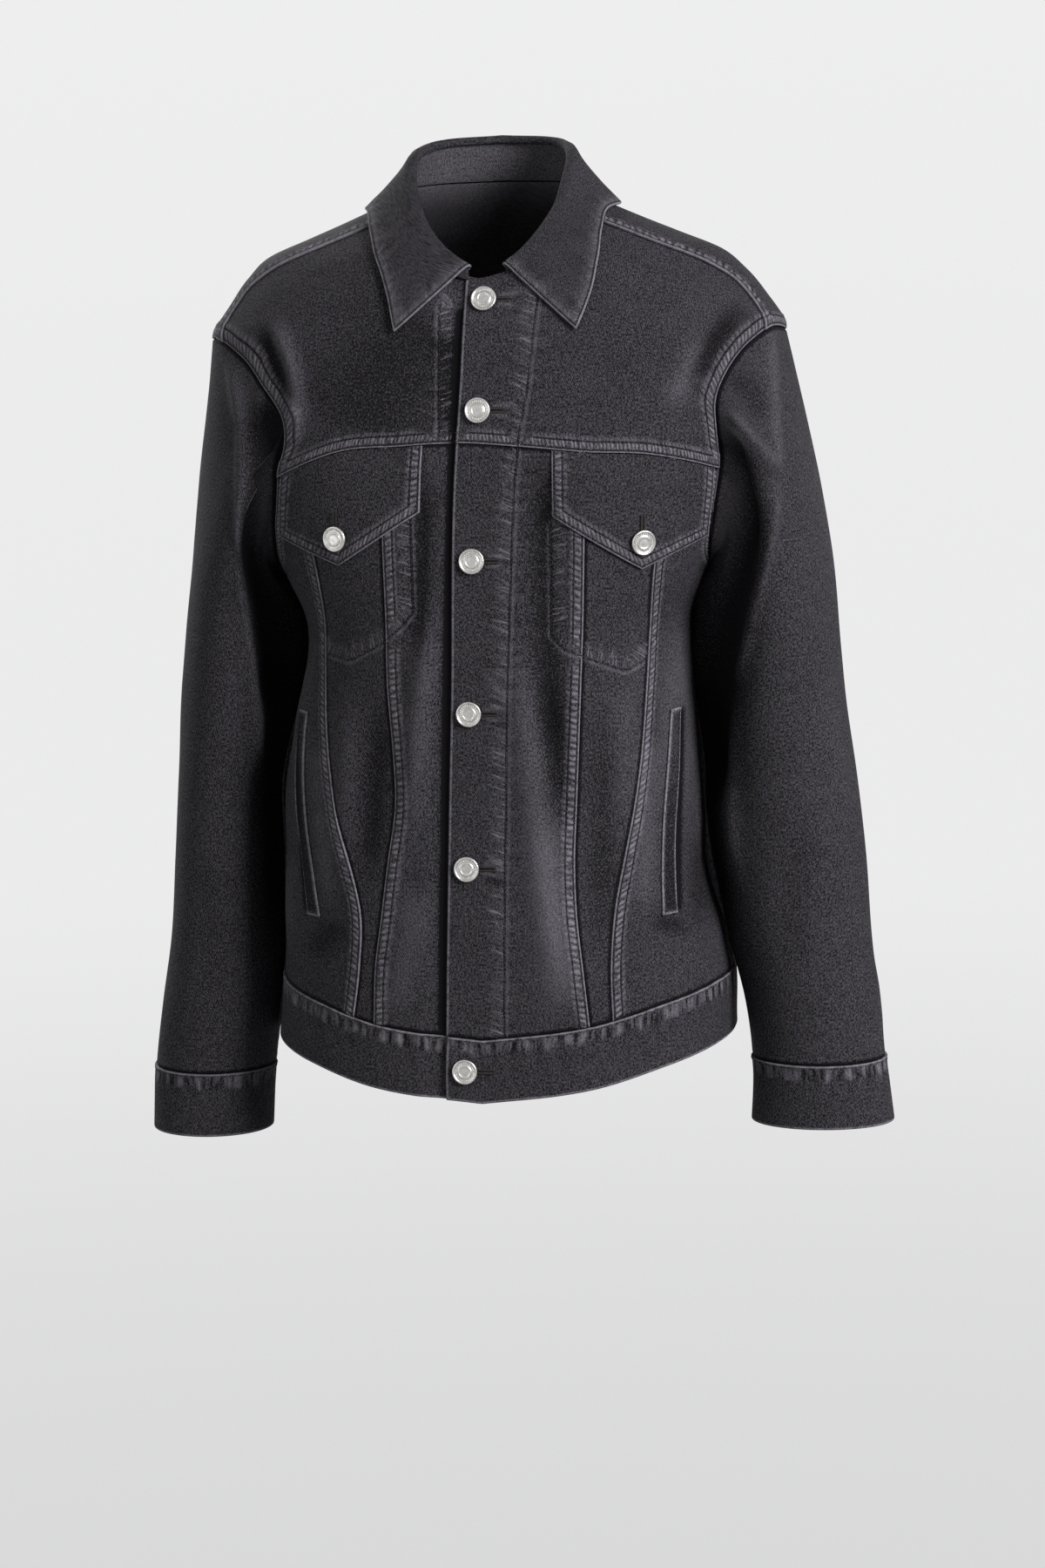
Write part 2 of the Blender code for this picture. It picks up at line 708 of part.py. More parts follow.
def welt(side):
    shape = WELTS[side]
    corners = [np.array([a, WELT_TOP_Z]) for a in shape["top"]] + [
        np.array([a, WELT_BOTTOM_Z]) for a in shape["bottom"]]

    def line(start, end):
        return lambda part: start + (end - start) * part

    grid = coons(line(corners[0], corners[2]), line(corners[1], corners[3]), line(corners[0], corners[1]),
                 line(corners[2], corners[3]), steps(2), steps(7))
    panel(f"welt_{SIDE_NAMES[side]}", grid, lambda point: PATCH_LIFT)


# Waistband, collar, sleeves and cuffs.


def waistband():
    """One strip round the hem, whose over end laps its under end at the front."""
    middle_z = -0.625
    start = angle_across(front_edge_x(LEFT, middle_z), middle_z)
    end = 360 + angle_across(front_edge_x(RIGHT, middle_z), middle_z)
    ramp_end = 360 + start
    columns = np.concatenate([np.linspace(start, ramp_end - 9, 34), np.linspace(ramp_end - 5, end, 6)])
    sink = BAND + 0.0010
    points = np.zeros((3, len(columns), 3))
    normals = np.zeros_like(points)
    for j, angle in enumerate(columns):
        top = waist_seam(angle)[1] - 2 * HALF_GAP
        share = np.clip((angle - (ramp_end - 9)) / 8, 0, 1)
        for i, part in enumerate(steps(2)):
            z = top - BAND_HEIGHT * part
            normals[i, j] = body_normal(angle, z)
            points[i, j] = body_point(angle, z) + normals[i, j] * (BAND_PROUD - sink * share)
    wall("waistband", points, points - normals * BAND, DENIM)


def collar_station(part):
    """The neck, fold and edge points of the collar; part runs 0 to 2 from its left end to its right end."""
    side, own = (LEFT, part) if part <= 1 else (RIGHT, 2 - part)
    name = SIDE_NAMES[side]
    fold_angle = side * smooth(COLLAR_LINES, "fold_" + name, own)
    turn = math.radians(fold_angle)
    radius = smooth(COLLAR_LINES, "fold_radius", own)
    fold = np.array([radius * math.sin(turn), -radius * math.cos(turn), smooth(COLLAR_LINES, "fold_z", own)])
    neck = body_point(fold_angle, neckline(fold_angle)[1])
    edge_angle = side * smooth(COLLAR_LINES, "edge_" + name, own)
    edge_z = smooth(COLLAR_LINES, "edge_z", own)
    edge = body_point(edge_angle, edge_z) + body_normal(edge_angle, edge_z) * (COLLAR_CLEARANCE + 0.001)
    return neck, fold, edge


def down_normals(points):
    """Outward normals of a grid whose rows run down and whose columns run towards the wearer's left."""
    round_body = np.gradient(points, axis=1)
    along = np.gradient(points, axis=0)
    normals = np.cross(along, round_body)
    return normals / np.maximum(np.linalg.norm(normals, axis=2, keepdims=True), 1e-9)


def collar_stations():
    return np.concatenate([steps(11), 1 + steps(11)[1:]])


def collar_stand():
    """The band between the neckline and the fold."""
    stations = collar_stations()
    points = np.zeros((4, len(stations), 3))
    for j, part in enumerate(stations):
        neck, fold, _ = collar_station(part)
        rise = fold - neck
        start = neck + unit(rise) * STAND_GAP
        end = fold - np.array([0, 0, STAND_DROP])
        for i, share in enumerate(steps(3)):
            points[i, j] = start + (end - start) * share
    normals = -down_normals(points)
    wall("collar_stand", points, points - normals * CLOTH, DENIM_DARK)


def clear_of_body(point, clearance):
    """Moves a point out to stand clear of the body form."""
    centre = smooth(RINGS, "shift", point[2])
    angle = math.degrees(math.atan2(point[0] - centre, -point[1]))
    surface = body_point(angle, point[2])
    normal = body_normal(angle, point[2])
    short = clearance - np.dot(point - surface, normal)
    return point + normal * short if short > 0 else point


def clear_of_stand(point, neck, fold):
    """Moves a point of the fall out to stand clear of the stand's outer face."""
    slope = unit(neck - fold)
    away = unit(np.array([fold[0], fold[1], 0.0]))
    away = unit(away - np.dot(away, slope) * slope)
    if np.dot(point - neck, slope) > 0:
        return point
    short = STAND_CLEARANCE - np.dot(point - fold, away)
    return point + away * short if short > 0 and point[2] < fold[2] else point


def collar_fall():
    """The turned-down part of the collar, from the fold out to its edge and points."""
    stations = collar_stations()
    rows = steps(5)
    points = np.zeros((len(rows), len(stations), 3))
    for j, part in enumerate(stations):
        neck, fold, edge = collar_station(part)
        for i, share in enumerate(rows):
            point = fold + (edge - fold) * share
            point[2] += COLLAR_ROLL * (1 - share) ** 2
            point = clear_of_stand(point, neck, fold)
            points[i, j] = clear_of_body(point, COLLAR_CLEARANCE) if point[2] < SHOULDER_TOP_Z else point
    normals = down_normals(points)
    wall("collar_fall", points, points - normals * COLLAR, DENIM)


def sleeve_ring(side, turn, z):
    """A point of the sleeve's section at a height; turn 0 is outward and 90 is forward."""
    tab = SLEEVES[side]
    swing = math.radians(turn)
    away = (turn - REACH_TURN[side] + 180) % 360 - 180
    reach = smooth(tab, "reach", z) * math.exp(-((away / REACH_SPREAD) ** 2))
    across = smooth(tab, "centre_x", z) + smooth(tab, "half_width", z) * math.cos(swing) - reach
    along = smooth(tab, "centre_y", z) - smooth(tab, "half_depth", z) * math.sin(swing)
    return np.array([side * across, along, z])


def sleeve_point(side, turn, part, cap=0.4, cap_z=-0.300):
    """A point of the sleeve, from the armhole at part 0 to the cuff at part 1."""
    if part >= cap:
        z = cap_z + (SLEEVE_END[side] + 2 * HALF_GAP - cap_z) * (part - cap) / (1 - cap)
        return sleeve_ring(side, turn, z)
    pair = armhole(side, turn)
    start = body_point(*pair)
    low = 0.5 - 0.5 * math.cos(math.radians(turn))
    flare = SLEEVE_FLARE[side]
    leave = unit(np.array([side * (flare + (1 - flare) * low), 0, -(1 - 0.55 * low)])
                 + 0.15 * min(2 * low, 1) * body_normal(*pair))
    start = start + leave * SLEEVE_START
    end = sleeve_ring(side, turn, cap_z)
    arrive = unit(sleeve_ring(side, turn, cap_z - 0.02) - end)
    reach = np.linalg.norm(end - start)
    t = part / cap
    return (
        (2 * t**3 - 3 * t**2 + 1) * start
        + (t**3 - 2 * t**2 + t) * reach * leave
        + (3 * t**2 - 2 * t**3) * end
        + (t**3 - t**2) * reach * arrive
    )


def sleeve_piece(side, name, start_turn, end_turn, columns):
    """One of the two pieces of a sleeve, between its back seam and its underarm seam."""
    step = (end_turn - start_turn) / columns
    turns = np.linspace(start_turn - step, end_turn + step, columns + 3)
    rows = np.concatenate([steps(5) * 0.4, 0.4 + steps(7)[1:] * 0.6])
    points = np.array([[sleeve_point(side, turn, part) for turn in turns] for part in rows])
    normals = (down_normals(points) * -side)[:, 1:-1]
    points = points[:, 1:-1]
    outer = stand_back(points)
    wall(f"{name}_{SIDE_NAMES[side]}", outer, outer - normals * CLOTH, DENIM)


def sleeve_axis(side, z):
    tab = SLEEVES[side]
    return np.array([side * smooth(tab, "centre_x", z), smooth(tab, "centre_y", z), z])


def sleeve(side):
    sleeve_piece(side, "sleeve_top", BACK_SLEEVE_TURN - 360, UNDERARM_TURN, 15)
    sleeve_piece(side, "sleeve_under", UNDERARM_TURN, BACK_SLEEVE_TURN, 5)


def cuff(side):
    """The doubled band at the sleeve's end."""
    turns = np.linspace(0, 360, 25)[:-1]
    heights = SLEEVE_END[side] - CUFF_HEIGHT * steps(2)
    points = np.array([[sleeve_ring(side, turn, z) for turn in turns] for z in heights])
    centres = np.array([[sleeve_axis(side, z)] * len(turns) for z in heights])
    away = points - centres
    away /= np.linalg.norm(away, axis=2, keepdims=True)
    outer = points + away * CUFF_PROUD
    wall(f"cuff_{SIDE_NAMES[side]}", outer, outer - away * BAND, DENIM, ring=True)


# Buttons.


def button(name, x, z, lift):
    """A turned metal button, set square to the cloth."""
    angle = angle_across(x, z)
    normal = body_normal(angle, z)
    base = body_point(angle, z) + normal * lift
    right = unit(np.cross(np.array([0, 0, 1.0]), normal))
    up = np.cross(normal, right)
    segments = 16
    verts = [base]
    for radius, height in BUTTON_PROFILE:
        for k in range(segments):
            swing = 2 * math.pi * k / segments
            spoke = right * math.cos(swing) + up * math.sin(swing)
            verts.append(base + spoke * radius * BUTTON_RADIUS + normal * height)
    verts.append(base + normal * BUTTON_HEIGHT)
    faces = []
    for k in range(segments):
        after = (k + 1) % segments
        faces.append((0, 1 + after, 1 + k))
        for ring in range(len(BUTTON_PROFILE) - 1):
            low, high = 1 + ring * segments, 1 + (ring + 1) * segments
            faces.append((low + k, low + after, high + after, high + k))
        last = 1 + (len(BUTTON_PROFILE) - 1) * segments
        faces.append((last + k, last + after, len(verts) - 1))
    add_mesh(name, verts, faces, NICKEL, metallic=1.0, roughness=0.3)


def buttons():
    for name, (x, z) in BUTTONS.items():
        lift = BUTTON_LIFT
        if name.startswith("flap"):
            lift += PATCH_LIFT
        if name == "button_6":
            lift += BAND_PROUD
        button(name, x, z, lift)


def main():
    for piece in list(bpy.data.objects):
        bpy.data.objects.remove(piece, do_unlink=True)
    back_yoke()
    back_centre()
    waistband()
    collar_stand()
    collar_fall()
    for side in (LEFT, RIGHT):
        front_yoke(side)
        front_centre(side)
        front_middle(side)
        front_side(side)
        back_side(side)
        flap(side)
        welt(side)
        sleeve(side)
        cuff(side)
    buttons()


main()
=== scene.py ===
"""The looks of a washed-black denim jacket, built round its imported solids.

Metres, +Z up. The front faces -Y and the wearer's left is +X. A place on the body is an angle in
degrees, from 0 at the centre front through 90 at the wearer's left side to 180 at the centre back,
and a height. Each cut piece is a fine grid on the same form as its solid, with its lapped seams,
gathered stitching and creases, and the stitches follow the grid's own lines.
"""

import logging
import math
from collections.abc import Callable, Sequence
from dataclasses import dataclass
from enum import Enum, IntEnum
from functools import partialmethod

import bmesh
import bpy
import numpy as np
from mathutils import Matrix, Vector


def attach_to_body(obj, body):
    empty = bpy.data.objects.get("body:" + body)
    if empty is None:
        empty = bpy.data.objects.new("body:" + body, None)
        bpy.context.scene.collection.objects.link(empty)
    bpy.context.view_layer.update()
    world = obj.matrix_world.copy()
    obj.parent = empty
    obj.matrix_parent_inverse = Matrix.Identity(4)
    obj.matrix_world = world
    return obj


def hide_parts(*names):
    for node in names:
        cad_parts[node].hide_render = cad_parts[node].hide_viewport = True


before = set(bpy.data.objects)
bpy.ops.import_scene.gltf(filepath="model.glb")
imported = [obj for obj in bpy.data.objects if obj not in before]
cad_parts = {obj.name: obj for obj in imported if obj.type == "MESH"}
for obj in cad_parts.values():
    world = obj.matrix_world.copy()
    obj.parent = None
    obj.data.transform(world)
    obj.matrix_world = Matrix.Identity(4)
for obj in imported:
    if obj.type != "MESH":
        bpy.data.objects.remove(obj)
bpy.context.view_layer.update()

Array = np.ndarray
Edge = Callable[[Array], Array]
Surface = Callable[[Array, Array], Array]
log = logging.getLogger("denim_jacket")

# How thick the cloth is, how proud pieces lie, and the sizes of the bands and buttons.
CLOTH = 0.0015
BAND = 0.0028
COLLAR = 0.0025
HALF_GAP = 0.00015
LAP = CLOTH + 0.0010
PATCH_LIFT = CLOTH + 0.0012
BAND_HEIGHT = 0.047
BAND_PROUD = 0.0006
CUFF_HEIGHT = 0.049
CUFF_PROUD = 0.0009
BUTTON_RADIUS = 0.0093
BUTTON_LIFT = 0.0008
EDGE_THINNING = 0.7
INSIDE_WEAR_AND_SHADE = 0.3
FLAP = 0.0020
FLAP_TOP_LIFT = 0.0012
FLAP_EASE = 0.0016
WELT_LIFT = 0.0017
BEAD_HEIGHT = 0.00178
BEAD_RADIUS = 0.00052
ARM_RADIUS = 0.055
FACING_GATHER = 0.00050
FACING_REACH = 0.007
POCKET_GATHER = 0.00035
POCKET_REACH = 0.006
UNDER_EDGE = 0.016

# Turns round the arm at which seams meet the armhole, from 0 at its top through 90 at its front.
SHOULDER_TURN = 27
CHEST_TURN = 122
UNDERARM_TURN = 180
BACK_YOKE_TURN = 282
BACK_SLEEVE_TURN = 262
SHOULDER_NECK_ANGLE = 60

# Distances and strengths for the seams, and how fine the grids are.
STITCH_ROWS = (0.0018, 0.0078)
TUCK_LINES = ((0.4, 0.0018), (1.0, 0.0020))
SEAM_SHARE = 0.8
STITCH_SINK = 0.00038
ROW_PITCH = 0.0050
ROW_SINK = 0.00045
ROW_WEAR = 0.0012
ROW_TICK = 0.0052
PUCKER_WEAR = 0.0010
WELT_STEP = 0.0010
DENSE = 121
ENDS = np.array([0.0, 1.0])
COARSE = (slice(None, None, 2), slice(None, None, 2))


class Side(Enum):
    """The wearer's left and right, as the sign of X."""

    LEFT = 1
    RIGHT = -1

    @property
    def label(self) -> str:
        """The side's name as it ends a piece's name."""
        return self.name.lower()


class Table:
    """Named columns, with a smooth curve through each."""

    def __init__(self, columns: str, rows: Sequence[Sequence[float]]) -> None:
        """Keep the rows as one array for each column.

        Args:
            columns: The columns' names, the first being what the others are read by.
            rows: The rows, in rising order of the first column.
        """
        self.columns = dict(zip(columns.split(), np.array(rows, float).T))
        self.key = next(iter(self.columns.values()))

    def at(self, column: str, place: Array | float) -> Array:
        """Read a column's curve.

        Args:
            column: The column's name.
            place: Values of the first column.

        Returns:
            The curve's values there.
        """
        x, y = self.key, self.columns[column]
        width = np.diff(x)
        slope = np.diff(y) / width
        inner = (slope[:-1] * width[1:] + slope[1:] * width[:-1]) / (width[1:] + width[:-1])
        tangent = np.concatenate([slope[:1], inner, slope[-1:]])
        place = np.asarray(place, float)
        i = np.clip(np.searchsorted(x, place) - 1, 0, len(x) - 2)
        t = (place - x[i]) / width[i]
        return hermite(t, y[i], y[i + 1], width[i] * tangent[i], width[i] * tangent[i + 1])


def unit(vectors: Array) -> Array:
    """Vectors of the same directions, one long."""
    return vectors / np.maximum(np.linalg.norm(vectors, axis=-1, keepdims=True), 1e-9)


def ease(low: float, high: float, value: Array) -> Array:
    """A smooth step from 0 at low to 1 at high."""
    share = np.clip((value - low) / (high - low), 0, 1)
    return share * share * (3 - 2 * share)


def steps(count: int) -> Array:
    """Even shares from 0 to 1."""
    return np.linspace(0, 1, count + 1)


def stack(*parts: Array | float) -> Array:
    """Arrays side by side along a new last axis, as places or points."""
    return np.stack(np.broadcast_arrays(*parts), axis=-1).astype(float)


def hermite(t: Array, start: Array, end: Array, leave: Array, arrive: Array) -> Array:
    """A cubic curve between two ends, with its slope at each.

    Args:
        t: Shares of the way.
        start: The first end.
        end: The second end.
        leave: The slope at the first end.
        arrive: The slope at the second end.

    Returns:
        Points of the curve, one to each share.
    """
    return (
        (2 * t**3 - 3 * t**2 + 1) * start
        + (t**3 - 2 * t**2 + t) * leave
        + (3 * t**2 - 2 * t**3) * end
        + (t**3 - t**2) * arrive
    )


def follow(path: Callable[[Array], Array], start: float, end: float) -> Edge:
    """An edge along a line, between two of the values that the line is read by."""
    return lambda part: path(start + (end - start) * np.asarray(part, float))


def straight(start: Sequence[float], end: Sequence[float]) -> Edge:
    """A straight edge between two places."""
    first, last = np.array(start, float), np.array(end, float)
    return lambda part: first + (last - first) * np.asarray(part, float)[..., None]


def rectangle(first: float, last: float, low: float = 0, high: float = 1) -> tuple[Edge, ...]:
    """The near, far, top and bottom edges of a plain rectangle of coordinates."""
    corners = ((first, low), (first, high)), ((last, low), (last, high))
    sides = tuple(straight(*ends) for ends in corners)
    return (*sides, *(straight(*ends) for ends in zip(*corners)))


def joined(share: float, first: Edge, second: Edge) -> Edge:
    """An edge of two parts, which meet at a share.

    Args:
        share: The share at which the parts meet.
        first: The part before it.
        second: The part after it.

    Returns:
        The whole edge, for shares of 0 to 1.
    """

    def edge(part: Array) -> Array:
        """Places of the whole edge."""
        part = np.asarray(part, float)
        start, rest = np.minimum(part / share, 1), np.maximum(part - share, 0) / (1 - share)
        return np.where((part <= share)[..., None], first(start), second(rest))

    return edge


def full_turn(places: Array) -> Array:
    """The same places, with their angles from 0 to 360."""
    return stack(places[..., 0] % 360, places[..., 1])


def folded(angle: Array | float) -> Array:
    """How far round from the centre front an angle lies, whichever its side."""
    return np.abs((np.asarray(angle, float) + 180) % 360 - 180)


class Body:
    """The form that the jacket keeps when it is worn, and the seams drawn on it."""

    rings = Table(
        "z half_width shift front_depth back_depth front_power back_power",
        (
            (-0.660, 0.176, -0.002, 0.150, 0.138, 2.5, 2.5),
            (-0.620, 0.173, -0.002, 0.149, 0.136, 2.5, 2.5),
            (-0.580, 0.171, 0.000, 0.147, 0.132, 2.5, 2.5),
            (-0.540, 0.166, -0.002, 0.146, 0.129, 2.5, 2.5),
            (-0.490, 0.160, -0.006, 0.144, 0.126, 2.5, 2.5),
            (-0.430, 0.157, -0.008, 0.142, 0.124, 2.5, 2.5),
            (-0.380, 0.150, -0.005, 0.141, 0.125, 2.5, 2.5),
            (-0.330, 0.143, 0.000, 0.140, 0.128, 2.5, 2.5),
            (-0.300, 0.146, 0.000, 0.139, 0.130, 2.5, 2.5),
            (-0.270, 0.159, 0.000, 0.137, 0.132, 2.6, 2.6),
            (-0.240, 0.170, 0.000, 0.135, 0.133, 2.7, 2.8),
            (-0.200, 0.182, 0.001, 0.131, 0.133, 2.8, 2.9),
            (-0.160, 0.194, 0.001, 0.126, 0.130, 2.9, 3.0),
            (-0.120, 0.206, 0.002, 0.118, 0.124, 2.9, 3.0),
            (-0.090, 0.212, 0.002, 0.110, 0.117, 2.8, 2.9),
            (-0.070, 0.200, 0.002, 0.102, 0.110, 2.6, 2.7),
            (-0.050, 0.185, 0.001, 0.092, 0.101, 2.4, 2.5),
            (-0.035, 0.168, 0.000, 0.082, 0.092, 2.2, 2.3),
            (-0.022, 0.137, 0.000, 0.070, 0.082, 2.1, 2.2),
            (-0.010, 0.108, 0.000, 0.058, 0.074, 2.0, 2.1),
            (0.000, 0.086, 0.000, 0.048, 0.067, 2.0, 2.0),
            (0.020, 0.066, 0.000, 0.040, 0.058, 2.0, 2.0),
        ),
    )
    armhole_line = Table(
        "turn angle_right z_right angle_left z_left",
        (
            (0, 90, -0.097, 90, -0.094),
            (20, 75, -0.093, 78, -0.091),
            (40, 66, -0.104, 70, -0.101),
            (60, 60, -0.125, 65, -0.120),
            (80, 54.5, -0.148, 62.5, -0.140),
            (100, 54, -0.168, 63.5, -0.162),
            (120, 57, -0.190, 66, -0.188),
            (140, 61, -0.222, 68, -0.220),
            (160, 69, -0.252, 73, -0.250),
            (180, 90, -0.268, 90, -0.268),
            (200, 108, -0.258, 108, -0.258),
            (220, 117, -0.232, 117, -0.232),
            (240, 121, -0.205, 121, -0.205),
            (260, 122, -0.175, 122, -0.175),
            (280, 120, -0.150, 120, -0.150),
            (300, 116, -0.127, 116, -0.127),
            (320, 110, -0.110, 110, -0.110),
            (340, 101, -0.099, 101, -0.098),
            (360, 90, -0.097, 90, -0.094),
        ),
    )
    neck_line = Table(
        "angle z",
        ((0, -0.054), (10, -0.050), (20, -0.043), (40, -0.024), (60, -0.005), (75, 0.005), (90, 0.010),
         (120, 0.014), (180, 0.016)),
    )
    shoulder_line = Table(
        "part angle z",
        ((0.0, 60, -0.005), (0.15, 66, -0.018), (0.35, 70, -0.032), (0.55, 74, -0.045),
         (0.75, 76, -0.060), (0.9, 75, -0.078), (1.0, 72, -0.094)),
    )
    chest_line = Table(
        "x z",
        ((-0.160, -0.200), (-0.127, -0.183), (-0.101, -0.1735), (-0.053, -0.169), (-0.014, -0.167),
         (0.032, -0.170), (0.081, -0.175), (0.126, -0.179), (0.154, -0.187), (0.180, -0.199)),
    )
    waist_line = Table(
        "angle z",
        ((0, -0.600), (30, -0.591), (50, -0.579), (70, -0.573), (90, -0.574), (135, -0.582), (180, -0.588)),
    )
    closure = Table(
        "z free_edge button_line",
        ((-0.650, -0.029, -0.014), (-0.600, -0.028, -0.013), (-0.504, -0.025, -0.011),
         (-0.420, -0.022, -0.008), (-0.347, -0.019, -0.005), (-0.200, -0.015, 0.001),
         (-0.118, -0.010, 0.004), (-0.056, -0.008, 0.006)),
    )
    long_seams = Table(
        "z inner_right inner_left outer_right outer_left back",
        (
            (-0.590, 0.083, 0.077, 0.099, 0.093, 0.078),
            (-0.550, 0.081, 0.073, 0.093, 0.092, 0.081),
            (-0.510, 0.075, 0.069, 0.091, 0.095, 0.084),
            (-0.470, 0.069, 0.068, 0.100, 0.102, 0.087),
            (-0.430, 0.063, 0.070, 0.109, 0.109, 0.090),
            (-0.390, 0.064, 0.072, 0.115, 0.114, 0.093),
            (-0.340, 0.067, 0.0745, 0.118, 0.118, 0.097),
            (-0.290, 0.067, 0.077, 0.117, 0.122, 0.102),
            (-0.235, 0.068, 0.079, 0.124, 0.129, 0.109),
            (-0.170, 0.068, 0.080, 0.134, 0.141, 0.117),
        ),
    )

    def point(self, angle: Array | float, z: Array | float) -> Array:
        """Points of the form.

        Args:
            angle: Angles round the body, in degrees.
            z: Heights.

        Returns:
            The points, one for each angle and height.
        """
        turn = np.radians(angle)
        across, along = np.sin(turn), np.cos(turn)
        in_front = along > 0
        width = self.rings.at("half_width", z)
        depth = np.where(in_front, self.rings.at("front_depth", z), self.rings.at("back_depth", z))
        power = np.where(in_front, self.rings.at("front_power", z), self.rings.at("back_power", z))
        radius = ((np.abs(across) / width) ** power + (np.abs(along) / depth) ** power) ** (-1 / power)
        x = self.rings.at("shift", z) + radius * across
        return stack(x, -radius * along, z)

    def at(self, places: Array) -> Array:
        """The points of places on the form."""
        return self.point(places[..., 0], places[..., 1])

    def angle_across(self, x: Array | float, z: Array | float, back: bool = False) -> Array:
        """The angle at which the form has this distance across, on its front or its back.

        Args:
            x: Distances across, from the middle.
            z: Heights.
            back: Whether to look on the back.

        Returns:
            The angles, in degrees.
        """
        face = "back" if back else "front"
        offset = x - self.rings.at("shift", z)
        power = self.rings.at(face + "_power", z)
        share = np.minimum(np.abs(offset) / self.rings.at("half_width", z), 1.0)
        along = self.rings.at(face + "_depth", z) * (1 - share**power) ** (1 / power)
        turn = np.degrees(np.arctan2(np.abs(offset), along))
        return np.copysign(180 - turn if back else turn, offset)

    def armhole(self, side: Side, turn: Array | float) -> Array:
        """Places of the armhole seam, at turns round the arm.

        Args:
            side: Which side of the jacket, the wearer's left or right.
            turn: Turns round the arm, in degrees.

        Returns:
            Places of the form: angles and heights.
        """
        turn = np.asarray(turn, float) % 360
        return stack(
            side.value * self.armhole_line.at("angle_" + side.label, turn),
            self.armhole_line.at("z_" + side.label, turn),
        )

    def neckline(self, angle: Array | float) -> Array:
        """Places of the neckline."""
        return stack(angle, self.neck_line.at("z", folded(angle)))

    def waist(self, angle: Array | float) -> Array:
        """Places of the waistband's seam."""
        return stack(angle, self.waist_line.at("z", folded(angle)))

    def shoulder(self, side: Side, part: Array | float) -> Array:
        """Places of the forward shoulder seam, from the neckline to the armhole.

        Args:
            side: Which side of the jacket, the wearer's left or right.
            part: Shares of the seam, 0 at the neckline.

        Returns:
            Places of the form: angles and heights.
        """
        line = self.shoulder_line
        places = stack(side.value * line.at("angle", part), line.at("z", part))
        end = stack(side.value * line.columns["angle"][-1], line.columns["z"][-1])
        miss = self.armhole(side, SHOULDER_TURN) - end
        return places + np.asarray(part, float)[..., None] ** 3 * miss

    def chest(self, side: Side, x: Array | float) -> Array:
        """Places of the chest seam, ending exactly on the armhole.

        Args:
            side: Which side of the jacket, the wearer's left or right.
            x: Distances across, from the middle.

        Returns:
            Places across the front: distances and heights.
        """
        corner_angle, corner_z = self.armhole(side, CHEST_TURN)
        corner_x = self.point(corner_angle, corner_z)[0]
        miss = corner_z - self.chest_line.at("z", corner_x)
        z = self.chest_line.at("z", x) + miss * np.maximum(np.asarray(x) / corner_x, 0.0) ** 4
        return stack(self.angle_across(x, z), z)

    def long_seam(self, side: Side, name: str, z: Array | float) -> Array:
        """How far across a long front seam lies at a height."""
        return side.value * self.long_seams.at(f"{name}_{side.label}", z)

    def front_edge(self, side: Side, z: Array | float) -> Array:
        """How far across each front reaches: the over front's free edge, or the under front's."""
        if side is Side.LEFT:
            return self.closure.at("free_edge", z)
        return self.closure.at("button_line", z) + UNDER_EDGE

    def under_lap(self, points: Array) -> Array:
        """How far the under front sinks beneath the over front at these points."""
        edge = self.closure.at("free_edge", points[..., 2])
        return LAP * ease(-0.021, -0.007, points[..., 0] - edge)

    def down_seam(self, x_at: Callable[[Array], Array], side: Side) -> Edge:
        """A seam running from the chest seam to the waistband, as places for shares of 0 to 1.

        Args:
            x_at: The seam's distance across at each height.
            side: Which side of the jacket, the wearer's left or right.

        Returns:
            The seam, as an edge.
        """
        top, bottom = -0.17, -0.59
        for _ in range(4):
            top = self.chest(side, x_at(top))[1]
            bottom = self.waist(self.angle_across(x_at(bottom), bottom))[1]

        return follow(lambda z: stack(self.angle_across(x_at(z), z), z), top, bottom)

    def arm_to_waist(self, side: Side, start_turn: float, arm_share: float) -> Edge:
        """A panel's edge down the armhole to the underarm, and then down the side seam."""
        arm = follow(lambda turn: self.armhole(side, turn), start_turn, UNDERARM_TURN)
        return joined(arm_share, arm, straight(arm(1), self.waist(side.value * 90)))

    def back_yoke(self, angle: Array | float) -> Array:
        """Places of the seam under the back yoke, which dips a little at the centre."""
        end_angle, end_z = self.armhole(Side.LEFT, BACK_YOKE_TURN)
        share = (180 - folded(angle)) / (180 - end_angle)
        return stack(angle, end_z - 0.010 * (1 - share**2))

    def back_seam(self, side: Side) -> Edge:
        """The long back seam, from the yoke to the waistband.

        Args:
            side: Which side of the jacket, the wearer's left or right.

        Returns:
            The seam, as an edge.
        """

        def angle_at(z: Array | float) -> Array:
            """The seam's angle at a height."""
            return self.angle_across(side.value * self.long_seams.at("back", z), z, back=True)

        top = -0.155
        for _ in range(4):
            top = self.back_yoke(np.abs(angle_at(top)))[1]
        bottom = self.waist(angle_at(-0.585))[1]

        return follow(lambda z: stack(angle_at(z) % 360, z), top, bottom)


BODY = Body()


